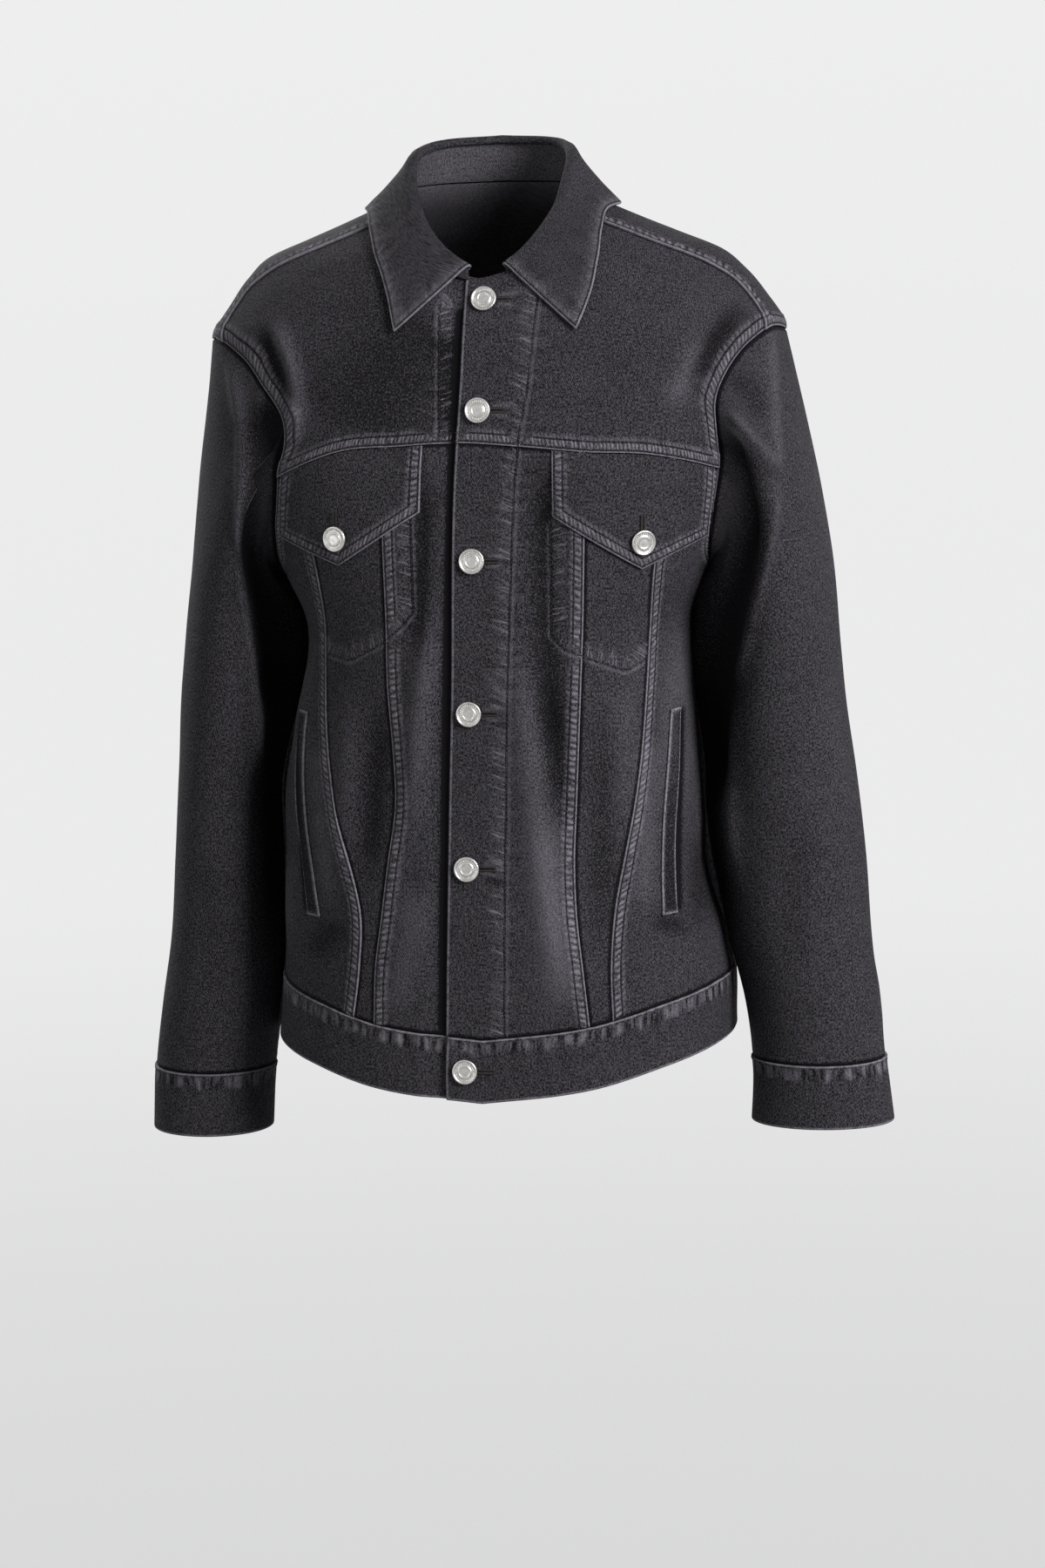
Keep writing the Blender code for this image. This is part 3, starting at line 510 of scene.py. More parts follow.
class Ripple:
    """An uneven wave along a line, such as the gathers beside a row of stitches."""

    def __init__(self, seed: int, pitch: float, length: float = 1.4) -> None:
        """Draw the wave's crests and troughs.

        Args:
            seed: What the draw starts from.
            pitch: The mean distance from a crest to the next trough.
            length: How much of the line the wave covers.
        """
        draw = np.random.default_rng(seed)
        count = int(length / pitch) + 8
        self.places = np.cumsum(pitch * draw.uniform(0.45, 1.6, count)) - 6 * pitch
        self.heights = draw.uniform(0.15, 1.0, count) * np.where(np.arange(count) % 2, 1, -1)

    def at(self, run: Array) -> Array:
        """The wave's height, from -1 to 1, along the line.

        Args:
            run: Distances along the line.

        Returns:
            The height at each distance.
        """
        i = np.clip(np.searchsorted(self.places, run) - 1, 0, len(self.places) - 2)
        share = np.clip((run - self.places[i]) / (self.places[i + 1] - self.places[i]), 0, 1)
        share = share * share * (3 - 2 * share)
        return self.heights[i] * (1 - share) + self.heights[i + 1] * share


class Finish(IntEnum):
    """How the cloth beside an edge or a row of stitches has worn."""

    UNWORN = 0
    TWO_ROWS = 1
    BAND_TOP = 2
    ONE_ROW = 3
    BARE_EDGE = 4
    ROW_PLAIN_SIDE = 5
    ROW_WORN_SIDE = 6


@dataclass(frozen=True)
class Seam:
    """How one edge of a cut piece is sewn.

    rise is how proud the lapped band stands, drop how far the edge itself turns down, rows the
    distances of its stitch rows from the edge, gather the height of the puckers and reach how far
    they run into the cloth. pitch is the puckers' spacing and slant how far they lean. tuck is how
    far the cloth runs on beneath its neighbour, and tick how far apart the worn marks stand.
    """

    rise: float = 0.0
    band: float = 0.0092
    drop: float = 0.0004
    rows: tuple[float, ...] = ()
    gather: float = 0.0
    reach: float = 0.006
    pitch: float = 0.0042
    slant: float = 0.5
    finish: Finish = Finish.UNWORN
    tuck: float = 0.0
    tick: float = 0.0045

    @property
    def offsets(self) -> tuple[float, ...]:
        """Distances from the edge at which the piece needs a line of its grid.

        Returns:
            The distances, from the edge inwards.
        """
        if self.rise or self.rows:
            return (0, 0.0005, 0.0011, 0.0018, 0.0025, 0.0037, 0.0050, 0.0064, 0.0072, 0.0078, 0.0085,
                    0.0098, 0.0116)
        return (0, 0.0006, 0.0015, 0.0030, 0.0050)


FELLED = Seam(rise=0.0009, rows=STITCH_ROWS, gather=0.00026, reach=0.0030, pitch=0.0030,
              finish=Finish.TWO_ROWS, tick=0.0046)
CHEST = Seam(rise=0.0010, band=0.0100, rows=STITCH_ROWS, gather=0.00022, reach=0.005, pitch=0.0026, slant=0.1,
             finish=Finish.TWO_ROWS, tick=0.0029)
SHOULDER = Seam(rise=0.0016, rows=STITCH_ROWS, gather=0.00060, reach=0.004, pitch=0.0034, slant=0.3,
                finish=Finish.TWO_ROWS, tick=0.0056)
ARMHOLE = Seam(rise=0.0008, band=0.0100, rows=STITCH_ROWS, gather=0.00014, reach=0.005,
               finish=Finish.TWO_ROWS, tick=0.0040)
TUCKED = Seam(drop=0.0006, gather=0.00018, reach=0.004, tuck=0.0045)
FLAP_EDGE = Seam(rise=0.0003, rows=STITCH_ROWS, gather=0.00026, reach=0.003, pitch=0.0030, slant=0.0,
                 finish=Finish.TWO_ROWS, tick=0.0040)
FRONT_EDGE = Seam(drop=0.0006, band=0.003, finish=Finish.BARE_EDGE)
COLLAR_EDGE = Seam(drop=0.0007, rows=STITCH_ROWS[:1], gather=0.00020, reach=0.008, pitch=0.0050, slant=-0.4,
                   finish=Finish.ONE_ROW, tick=0.0060)
BAND_TOP = Seam(rise=0.0006, band=0.0018, drop=0.0001, gather=0.00050, reach=0.010, pitch=0.0036, slant=0.25,
                finish=Finish.BAND_TOP, tick=0.0060)
HEM = Seam(drop=0.0007, finish=Finish.BARE_EDGE)
YOKE = Seam(rise=0.0009, rows=STITCH_ROWS, gather=0.0004, finish=Finish.TWO_ROWS)
WELT_EDGE = Seam(rise=0.0003, band=0.002, rows=STITCH_ROWS[:1], gather=0.00010, reach=0.002, pitch=0.0040,
                 slant=0.0, finish=Finish.BARE_EDGE)
PLAIN = Seam(drop=0.0003)


def trace(chart: Array, path: Array) -> tuple[Array, Array, Array]:
    """Where each place of a chart lies beside a path.

    Args:
        chart: The places.
        path: The path's points.

    Returns:
        The distance to the path, the number of steps along it, and the side: 1, or -1 for its right.
    """
    best = np.full(chart.shape[:-1], 9.0)
    place = np.zeros(chart.shape[:-1])
    side = np.zeros(chart.shape[:-1])
    for k, (start, end) in enumerate(zip(path, path[1:])):
        step = end - start
        share = np.clip(((chart - start) @ step) / (step @ step), 0, 1)
        gap = chart - start - share[..., None] * step
        away = np.linalg.norm(gap, axis=-1)
        closer = away < best
        best = np.where(closer, away, best)
        place = np.where(closer, k + share, place)
        side = np.where(closer, np.sign(step[0] * gap[..., 1] - step[1] * gap[..., 0]), side)
    return best, place, side


@dataclass(frozen=True)
class Crease:
    """A soft fold laid on a chart of metres.

    It runs from start past bend to end. height is how far its middle rises, or sinks where it is
    negative, and width how far it spreads. fade is the share of its length over which each end
    dies away. paler is how strongly it marks the cloth: a rise is worn paler and a hollow is
    darkened with painted shade, and where paler is negative a rise is darkened with painted shade.
    """

    start: tuple[float, float]
    bend: tuple[float, float]
    end: tuple[float, float]
    width: float
    height: float
    fade: float = 0.35
    paler: float = 1.0

    def lay(self, chart: Array) -> Array:
        """How strongly the fold shows at each place of a chart, from 0 to 1.

        Args:
            chart: Flat places of the cloth.

        Returns:
            The strength at each place.
        """
        t = steps(16)[:, None]
        start, bend, end = (np.array(place) for place in (self.start, self.bend, self.end))
        away, place, _ = trace(chart, (1 - t) ** 2 * start + 2 * t * (1 - t) * bend + t**2 * end)
        share = place / 16
        ends = ease(0, self.fade, share) * ease(0, self.fade, 1 - share)
        return np.exp(-((away / self.width) ** 2)) * ends


class Border(Enum):
    """The four edges of a piece's grid, as the axis that leads in from it and its end."""

    NEAR = (1, 0)
    FAR = (1, -1)
    TOP = (0, 0)
    BOTTOM = (0, -1)


def coons(near: Edge, far: Edge, top: Edge, bottom: Edge, columns: Array, rows: Array) -> Array:
    """A grid of places between four edges, each a function of shares of 0 to 1.

    Args:
        near: The edge at column 0.
        far: The edge at the last column.
        top: The edge at row 0.
        bottom: The edge at the last row.
        columns: Shares of the columns.
        rows: Shares of the rows.

    Returns:
        The places, by row and column.
    """
    s, t = columns[None, :, None], rows[:, None, None]
    ends = np.array([0.0, 1.0])
    upper, lower = top(ends), bottom(ends)
    ruled = (1 - t) * top(columns)[None] + t * bottom(columns)[None]
    ruled = ruled + (1 - s) * near(rows)[:, None] + s * far(rows)[:, None]
    first = (1 - t) * upper[0] + t * lower[0]
    second = (1 - t) * upper[1] + t * lower[1]
    return ruled - (1 - s) * first - s * second


def run_of(points: Array, axis: int) -> Array:
    """The distance from a grid's first line along one axis."""
    span = np.linalg.norm(np.diff(points, axis=axis), axis=-1)
    start = np.zeros_like(np.take(span, [0], axis=axis))
    return np.concatenate([start, np.cumsum(span, axis=axis)], axis=axis)


def squareness(points: Array, axis: int, end: int, skip: int = 0) -> Array:
    """The sine of the angle between a grid's edge, past skipped lines, and the lines that lead in from it.

    Args:
        points: The grid.
        axis: The axis that runs away from the edge.
        end: The edge's index on that axis.
        skip: How many lines to pass over.

    Returns:
        The sine at each point of the edge.
    """
    first, second = (skip, skip + 1) if end == 0 else (-1 - skip, -2 - skip)
    edge = np.take(points, first, axis=axis)
    inward = unit(np.take(points, second, axis=axis) - edge)
    along = unit(np.gradient(edge, axis=0))
    return np.clip(np.linalg.norm(np.cross(inward, along), axis=-1), 0.45, 1)


class Layout:
    """Where the lines of one axis of a grid fall: close by its sewn edges, and even between them."""

    def __init__(self, first: Seam, last: Seam, breaks: Sequence[float], step: float) -> None:
        """Keep the seams of the two ends, and the shares at which a line has to fall."""
        self.first, self.last, self.breaks, self.step = first, last, tuple(breaks), step
        self.marks: list[int] = []

    def shares(self, places: Array, points: Array, axis: int) -> Array:
        """Move the lines of a dense grid to where this layout wants them.

        Args:
            places: A dense grid of places.
            points: Its points.
            axis: The axis whose lines are laid out.

        Returns:
            The new grid of places.
        """
        if axis == 0:
            places, points = places.swapaxes(0, 1), points.swapaxes(0, 1)
        dense = self.dense(places.shape[1])
        run = run_of(points, 1)
        mean = run.mean(0)
        first, last = np.array(self.first.offsets), np.array(self.last.offsets)[::-1]
        ends = [first[-1], *(np.interp(knot, dense, mean) for knot in self.breaks), mean[-1] - last[0]]
        middle = [max(2, 2 * round((high - low) / self.step / 2)) for low, high in zip(ends, ends[1:])]
        result = []
        leads = squareness(points, 1, 0), squareness(points, 1, -1)
        for line, length, lead_in, lead_out in zip(places, run, *leads):
            squeeze = min(1.0, SEAM_SHARE * length[-1] / (first[-1] + last[0]))
            start = np.interp(first / lead_in * squeeze, length, dense)
            finish = np.interp(length[-1] - last / lead_out * squeeze, length, dense)
            inner = [start[-1], *self.breaks, finish[0]]
            between = [low + (high - low) * steps(spans)[1:]
                       for low, high, spans in zip(inner, inner[1:], middle)]
            share = np.concatenate([start, *between, finish[1:]])
            result.append(stack(*(np.interp(share, dense, line[:, k]) for k in range(2))))
        corners = len(first) - 1 + np.cumsum([0, *middle])[1:-1]
        laid = np.array(result)
        self.marks = [0, *corners.tolist(), laid.shape[1] - 1]
        return laid.swapaxes(0, 1) if axis == 0 else laid

    def dense(self, count: int) -> Array:
        """Even shares for a dense grid, with a line on each break.

        Args:
            count: How many shares to make at least.

        Returns:
            The shares, from 0 to 1.
        """
        shares = np.linspace(0, 1, count)
        for mark in self.breaks:
            shares[np.argmin(np.abs(shares - mark))] = mark
        return shares


@dataclass
class StitchRow:
    """A row of stitches: the points that it follows and the way that the cloth faces there."""

    points: Array
    facing: Array


class Patch:
    """One cut piece of cloth, as a fine grid on a surface, with its seams and creases."""

    def __init__(
        self,
        name: str,
        surface: Surface,
        edges: tuple[Edge, ...],
        seams: tuple[Seam | tuple[Seam, ...], ...],
        step: float,
        breaks: tuple[tuple[float, ...], ...] = ((), ()),
        fine: float | None = None,
        outward: int = 1,
        convert: Callable[[Array], Array] | None = None,
        probe: tuple[float, float] = (0.4, 0.0008),
        under: Callable[[Array], tuple[Array, Array]] | None = None,
    ) -> None:
        """Lay the piece's grid between its four edges.

        Args:
            name: The solid's name.
            surface: What turns two arrays of coordinates into points.
            edges: The near, far, top and bottom edges.
            seams: How each of them is sewn, with one seam for each part where it turns a corner.
            step: How far apart the grid's lines are, away from its seams.
            breaks: The shares at which a column and a row have to fall.
            fine: How far apart the columns are, where that differs.
            outward: 1, or -1 where the surface's own normal points in.
            convert: What turns the edges' places into the surface's coordinates.
            probe: How far each coordinate is moved to feel the surface's slope.
            under: What gives the direction and facing of the cloth that runs on past the top edge.
        """
        self.name, self.surface, self.outward, self.probe = name, surface, outward, probe
        self.seams = dict(zip(Border, seams))
        main = [max(seam, key=lambda part: (part.rise, part.tuck)) if isinstance(seam, tuple) else seam
                for seam in seams]
        columns = self.columns = Layout(*main[:2], breaks[0], fine or step)
        rows = self.rows = Layout(*main[2:], breaks[1], step)
        places = coons(*edges, columns.dense(DENSE), rows.dense(DENSE))
        if convert:
            places = convert(places)
        places = columns.shares(places, surface(places[..., 0], places[..., 1]), 1)
        places = rows.shares(places, surface(places[..., 0], places[..., 1]), 0)
        self.places = places
        self.points = surface(self.places[..., 0], self.places[..., 1])
        self.normals = self.facing(self.places)
        self.under = under
        self.tucked: dict[Border, int] = {}
        for border, seam in zip(Border, main):
            if seam.tuck:
                self.tuck(border, seam.tuck)
        self.chart = self.points[..., [0, 2]]
        shape = self.points.shape[:2]
        self.fold = np.zeros(shape)
        self.detail = np.zeros(shape)
        # Worn tone and painted shade, which the finish reads.
        self.wear = np.zeros(shape)
        self.seam = np.zeros(shape + (3,))
        self.seam[..., 0] = 0.05
        self.rows_sewn: list[tuple[Border, float, int | None]] = []
        self.paths_sewn: list[Array] = []
        self.lift: Array | float = 0.0
        self.seed = sum(ord(letter) * (k + 3) for k, letter in enumerate(name))

    def tuck(self, border: Border, reach: float) -> None:
        """Run the cloth on beneath its neighbour, past one of its edges.

        Args:
            border: Which of its edges.
            reach: How far the cloth runs on.
        """
        axis, end = border.value
        grids = self.points, self.normals, self.places
        edge, facing, place = (np.take(grid, [end], axis=axis) for grid in grids)
        away = unit(edge - np.take(self.points, [1 if end == 0 else -2], axis=axis))
        if self.under and border is Border.TOP:
            away, facing = self.under(place)
        lines = [edge + away * reach * share - facing * sink for share, sink in TUCK_LINES]
        if end == 0:
            lines.reverse()
        spare = len(lines)
        for name, added in (("points", lines), ("normals", [facing] * spare), ("places", [place] * spare)):
            parts = [*added, getattr(self, name)] if end == 0 else [getattr(self, name), *added]
            setattr(self, name, np.concatenate(parts, axis=axis))
        layout = self.rows if axis == 0 else self.columns
        layout.marks = [0] + [mark + (spare if end == 0 or mark == layout.marks[-1] else 0)
                              for mark in layout.marks[1:]]
        self.tucked[border] = spare

    def facing(self, places: Array) -> Array:
        """The outward direction of the surface at each place.

        Args:
            places: Places of the surface.

        Returns:
            The unit direction at each place.
        """
        a, b = places[..., 0], places[..., 1]
        da, db = self.probe
        first = self.surface(a + da, b) - self.surface(a - da, b)
        second = self.surface(a, b + db) - self.surface(a, b - db)
        return unit(np.cross(first, second)) * self.outward

    def border(self, border: Border) -> tuple[Array, Array]:
        """How far each point of the grid is from an edge, and how far along it.

        Args:
            border: Which of its edges.

        Returns:
            The distances from the edge, and those along it.
        """
        axis, end = border.value
        spare = self.tucked.get(border, 0)
        edge = spare if end == 0 else -1 - spare
        run = run_of(self.points, axis)
        run = run - np.take(run, [edge], axis=axis)
        if end == -1:
            run = -run
        run = run * np.expand_dims(squareness(self.points, axis, end, spare), axis)
        along = np.take(run_of(self.points, 1 - axis), [edge], axis=axis)
        return run, np.broadcast_to(along, run.shape)

    def marks(self, border: Border) -> list[int]:
        """The lines at which an edge starts, turns a corner and ends."""
        return (self.rows if border.value[0] == 1 else self.columns).marks

    def sew_edges(self, *borders: Border) -> None:
        """Sew these edges, or all four if none is named.

        Args:
            *borders: The edges to sew.
        """
        for border in borders or Border:
            seams = self.seams[border]
            for part, seam in enumerate(seams) if isinstance(seams, tuple) else ((None, seams),):
                self.sew(border, seam, part)

    def sew(self, border: Border, seam: Seam, part: int | None = None) -> None:
        """Finish an edge, or one part of it between two corners.

        Args:
            border: The edge.
            seam: How it is sewn.
            part: Which of the edge's parts, or None for all of it.
        """
        away, along = self.border(border)
        axis, end = border.value
        marks = self.marks(border)
        low, high = (0, -1) if part is None else (part, part + 1)
        line = np.take(along, 0 if end == 0 else -1, axis=axis)
        start, stop = line[marks[low]], line[marks[high]]
        inside = ease(-0.002, 0, along - start) * ease(-0.002, 0, stop - along)
        seed = self.seed + 17 * list(Border).index(border) + 5 * (part or 0)
        near = Ripple(seed, seam.pitch)
        far = Ripple(seed + 1, seam.pitch * 1.8)
        height = seam.rise * (1 - ease(seam.band, seam.band + 0.0022, away))
        height = height - seam.drop * (1 - ease(0, 0.0012, away)) ** 2
        for row in seam.rows:
            height = height - STITCH_SINK * np.exp(-(((away - row) / 0.0007) ** 2))
        body = seam.rise > 0 or bool(seam.rows)
        width = seam.band if body else 0.001
        past = np.maximum(away - width, 0)
        window = ease(0, 0.35 * width, away) * np.exp(-past / (0.45 * seam.reach))
        beyond = 0.9 * ease(0.5 * width, width + 0.002, away) * np.exp(-past / seam.reach)
        slant = seam.slant * away
        gathers = seam.gather * (near.at(along + slant) * window + far.at(along - slant) * beyond)
        self.detail += (height + gathers) * inside
        self.wear += (gathers / PUCKER_WEAR + 0.15 * (1 - ease(width, width + 0.002, away)) * body) * inside
        # Painted shadow: the cloth is darkened in a narrow line along a tucked edge, under its neighbour's
        # lap.
        if seam.tuck:
            self.wear -= 1.1 * (1 - ease(0.0008, 0.0026, away)) * inside
        closer = (away < self.seam[..., 0]) & (inside > 0.5) & (seam.finish > 0)
        self.seam[closer, 0] = away[closer]
        self.seam[closer, 1] = along[closer] / seam.tick
        self.seam[closer, 2] = seam.finish
        for row in seam.rows:
            self.rows_sewn.append((border, row, part))

    def covers(self, path: Array) -> Array:
        """Which points of a path on the chart lie on the piece."""
        flat = self.chart.reshape(-1, 2)
        return np.array([((flat - place) ** 2).sum(1).min() < 0.0025**2 for place in path])

    def crease(self, folds: Sequence[Crease]) -> None:
        """Lay creases on the piece's chart.

        Args:
            folds: The creases.
        """
        for fold in folds:
            strength = fold.lay(self.chart)
            self.fold += fold.height * strength
            # Rises are worn paler and hollows darkened with painted shade; a negative paler darkens a rise
            # with painted shade.
            self.wear += 0.25 * np.sign(fold.height) * fold.paler * strength

    def surface_at(self, i: Array, j: Array) -> tuple[Array, Array]:
        """The finished points and directions on grid lines i and j."""
        points = self.points[i, j] + self.normals[i, j] * (self.fold + self.detail)[i, j][..., None]
        return points, self.normals[i, j]

    def stitch_rows(self) -> list[StitchRow]:
        """Every row of stitches on the piece.

        Returns:
            The rows, each set on the finished cloth.
        """
        found = [self.row_on(path) for path in self.paths_sewn if len(path) > 1]
        for border, offset, part in self.rows_sewn:
            axis, _ = border.value
            away, _ = self.border(border)
            marks = self.marks(border)
            low, high = (marks[0], marks[-1]) if part is None else (marks[part], marks[part + 1])
            lines = np.arange(low, high + 1)
            mean = away[low : high + 1].mean(0) if axis == 1 else away[:, low : high + 1].mean(1)
            best = int(np.argmin(np.abs(mean - offset)))
            across = np.full(len(lines), best)
            i, j = (lines, across) if axis == 1 else (across, lines)
            found.append(StitchRow(*self.surface_at(i, j)))
        return found

    def stitch_path(self, corners: Sequence[Sequence[float]], gather: float, reach: float, worn: int,
                    seed: int = 0) -> None:
        """Sew a row across the piece, along a path on its chart.

        Args:
            corners: The row's corners, as places of the chart.
            gather: The height of the puckers beside it.
            reach: How far they run.
            worn: The side of the row that shows worn marks, 1 or -1.
            seed: What their draw starts from.
        """
        path = np.array(corners, float)
        best, place, side = trace(self.chart, path)
        along = np.interp(place, np.arange(len(path)), path_run(path))
        fine = even_path(path)
        self.paths_sewn.append(fine[self.covers(fine)])
        wave = Ripple(self.seed + seed, ROW_PITCH).at(along + 0.2 * best)
        window = ease(0, 0.002, best) * np.exp(-best / reach)
        self.detail += gather * wave * window - ROW_SINK * np.exp(-((best / 0.0011) ** 2))
        self.wear += wave * window * gather / ROW_WEAR
        closer = (best < self.seam[..., 0]) & (best < 0.018)
        self.seam[closer, 0] = best[closer]
        self.seam[closer, 1] = along[closer] / ROW_TICK
        self.seam[closer, 2] = Finish.ROW_PLAIN_SIDE
        self.seam[closer & (side * worn > 0), 2] = Finish.ROW_WORN_SIDE

    def row_on(self, path: Array) -> StitchRow:
        """A row of stitches along a path on the chart, set on the finished cloth.

        Args:
            path: Places of the path on the chart.

        Returns:
            The row.
        """
        flat = self.chart.reshape(-1, 2)
        rows = []
        for place in path:
            near = int(np.argmin(((flat - place) ** 2).sum(1)))
            i, j = divmod(near, self.chart.shape[1])
            at, facing = self.surface_at(i, j)
            shift = place - self.chart[i, j]
            tangent = np.array([shift[0], 0, shift[1]])
            tangent -= tangent @ facing * facing
            rows.append((at + tangent, facing))
        return StitchRow(*(np.array(part) for part in zip(*rows)))

    def grain(self) -> tuple[Array, Array]:
        """How far each point lies across and along the cloth's grain.

        Returns:
            The distances across and along.
        """
        right = np.cross((0.0, 0.0, 1.0), self.normals[:, :-1])
        turn = np.sign(((self.points[:, 1:] - self.points[:, :-1]) * right).sum()) or 1.0
        across = self.points[:, :1, 0] + turn * run_of(self.points, 1)
        down = run_of(self.points, 0)
        along = self.points[-1:, :, 2] + down[-1:] - down
        return across, along

    def build(self, thickness: float, finishes: "Finishes", ring: bool = False) -> bpy.types.Object:
        """Make the piece's closed shell.

        Args:
            thickness: The cloth's thickness.
            finishes: The materials of its face and its inside.
            ring: Whether its near and far edges are one.

        Returns:
            The finished object.
        """
        self.points = self.points + self.normals * np.broadcast_to(self.lift, self.fold.shape)[..., None]
        base = stand_back(self.points, sides=not ring)
        outer = base + self.normals * (self.fold + self.detail)[..., None]
        depth = np.full(self.fold.shape, thickness)
        depth[[0, -1]] *= EDGE_THINNING
        depth[:, [0, -1]] *= 1.0 if ring else EDGE_THINNING
        inner = (base + self.normals * (self.fold - depth)[..., None])[COARSE]
        return Shell(outer, inner, ring, (*self.grain(), self.wear, self.seam)).build(self.name, finishes)


def stand_back(points: Array, gap: float = HALF_GAP, sides: bool = True) -> Array:
    """Move a grid's top and bottom edges in from their seam lines, and its sides too unless told not to.

    Args:
        points: The grid.
        gap: How far to move.
        sides: Whether the sides move too.

    Returns:
        The grid, with its edges moved in.
    """
    moved = points.copy()
    for edge, inner in ((0, 1), (-1, -2)):
        moved[edge] += pull(points[edge], points[inner], gap)
        if sides:
            moved[:, edge] += pull(points[:, edge], points[:, inner], gap)
    return moved


def pull(edge: Array, inner: Array, gap: float) -> Array:
    """A move of each edge point towards the next line, by the gap measured square to the edge.

    Args:
        edge: Points of the edge.
        inner: Points of the next line.
        gap: How far to move.

    Returns:
        The move of each point.
    """
    toward = inner - edge
    along = unit(np.gradient(edge, axis=0))
    square = toward - (toward * along).sum(axis=1, keepdims=True) * along
    return unit(square) * gap


@dataclass
class Shell:
    """A closed wall between a fine outer grid and an inner grid of every second line.

    ring says that the first and last columns are one. values is what the finish reads at each point
    of the outer grid: its place across and along the grain, its worn tone with painted shade, and its seam.
    """

    outer: Array
    inner: Array
    ring: bool
    values: tuple[Array, ...]

    def build(self, name: str, finishes: "Finishes") -> bpy.types.Object:
        """Make the mesh, its grain map and its attributes.

        Args:
            name: The name of the piece.
            finishes: The materials.

        Returns:
            The piece.
        """
        grids = self.outer, self.inner
        outer, inner = (np.arange(grid[..., 0].size).reshape(grid.shape[:2]) for grid in grids)
        inner = inner + outer.size
        faces = quads(outer)
        inner_from = len(faces)
        faces += quads(inner[:, ::-1])
        inner_to = len(faces)
        rims = [(outer[0, ::-1], inner[0, ::-1]), (outer[-1], inner[-1])]
        if not self.ring:
            rims += [(outer[:, 0], inner[:, 0]), (outer[::-1, -1], inner[::-1, -1])]
        for rim, back in rims:
            for k in range(len(back) - 1):
                faces.append((rim[2 * k + 2], rim[2 * k + 1], rim[2 * k], back[k], back[k + 1]))
        verts = np.concatenate([self.outer.reshape(-1, 3), self.inner.reshape(-1, 3)])
        piece = new_object("cloth_" + name, verts, [], [[int(v) for v in face] for face in faces])
        mesh = piece.data
        across, along, wear, seam = self.values
        places = both_faces(stack(across, along))
        loops = np.zeros(len(mesh.loops), np.int32)
        mesh.loops.foreach_get("vertex_index", loops)
        grain = mesh.uv_layers.new(name="grain")
        grain.data.foreach_set("uv", places[loops].astype(np.float32).ravel())
        attach(mesh, "wear", both_faces(wear[..., None], INSIDE_WEAR_AND_SHADE))
        attach(mesh, "seam", both_faces(seam))
        mesh.materials.append(finishes.face)
        mesh.materials.append(finishes.inside)
        slots = np.zeros(len(faces), np.int32)
        slots[inner_from:inner_to] = 1
        mesh.polygons.foreach_set("material_index", slots)
        if self.ring:
            weld(mesh, [(grid[i, -1], grid[i, 0]) for grid in (outer, inner) for i in range(len(grid))])
        mesh.shade_smooth()
        if volume(mesh) < 0:
            mesh.flip_normals()
        mesh.set_sharp_from_angle(angle=math.radians(70))
        return piece


def both_faces(values: Array, inside: float = 1.0) -> Array:
    """A grid's values for the points of its shell's outer face, and then of its inner one."""
    size = values.shape[-1]
    return np.concatenate([values.reshape(-1, size), values[COARSE].reshape(-1, size) * inside])


def attach(mesh: bpy.types.Mesh, name: str, values: Array) -> None:
    """Give a mesh's points an attribute of one number or of three."""
    kind, field = ("FLOAT", "value") if values.shape[-1] == 1 else ("FLOAT_VECTOR", "vector")
    mesh.attributes.new(name, kind, "POINT").data.foreach_set(field, values.astype(np.float32).ravel())


def new_object(name: str, verts: Array, edges: Sequence[Sequence[int]],
               faces: Sequence[Sequence[int]]) -> bpy.types.Object:
    """Make a mesh and its object, and put it in the scene.

    Args:
        name: The name of the object and of its mesh.
        verts: The vertices.
        edges: The edges, as pairs of vertices.
        faces: The faces, as loops of vertices.

    Returns:
        The object.
    """
    mesh = bpy.data.meshes.new(name)
    mesh.from_pydata(verts.tolist(), edges, faces)
    piece = bpy.data.objects.new(name, mesh)
    bpy.context.scene.collection.objects.link(piece)
    return piece


def tube(rings: int, segments: int, first: int = 0) -> list[tuple[int, ...]]:
    """The faces of a tube between rings of vertices, the first of which starts at a given one."""
    grid = first + np.arange(rings * segments).reshape(rings, segments)
    closed = np.concatenate([grid, grid[:, :1]], axis=1).T
    return quads(closed)


def weld(mesh: bpy.types.Mesh, pairs: Sequence[tuple[int, int]]) -> None:
    """Make the first vertex of each pair one with the second.

    Args:
        mesh: The mesh to change.
        pairs: The vertices to join.
    """
    work = bmesh.new()
    work.from_mesh(mesh)
    work.verts.ensure_lookup_table()
    bmesh.ops.weld_verts(work, targetmap={work.verts[a]: work.verts[b] for a, b in pairs})
    work.to_mesh(mesh)
    work.free()


def quads(grid: Array) -> list[tuple[int, ...]]:
    """The four-sided faces between a grid's points."""
    corners = grid[:-1, :-1], grid[1:, :-1], grid[1:, 1:], grid[:-1, 1:]
    return list(zip(*(corner.ravel().tolist() for corner in corners)))


def volume(mesh: bpy.types.Mesh) -> float:
    """Six times the volume that a closed mesh holds, negative if its faces point inwards.

    Args:
        mesh: The mesh to measure.

    Returns:
        The volume, six times over.
    """
    mesh.calc_loop_triangles()
    index = np.zeros(len(mesh.loop_triangles) * 3, np.int32)
    mesh.loop_triangles.foreach_get("vertices", index)
    co = np.zeros(len(mesh.vertices) * 3, np.float32)
    mesh.vertices.foreach_get("co", co)
    a, b, c = (co.reshape(-1, 3).astype(float)[index.reshape(-1, 3)[:, k]] for k in range(3))
    return float((a * np.cross(b, c)).sum())


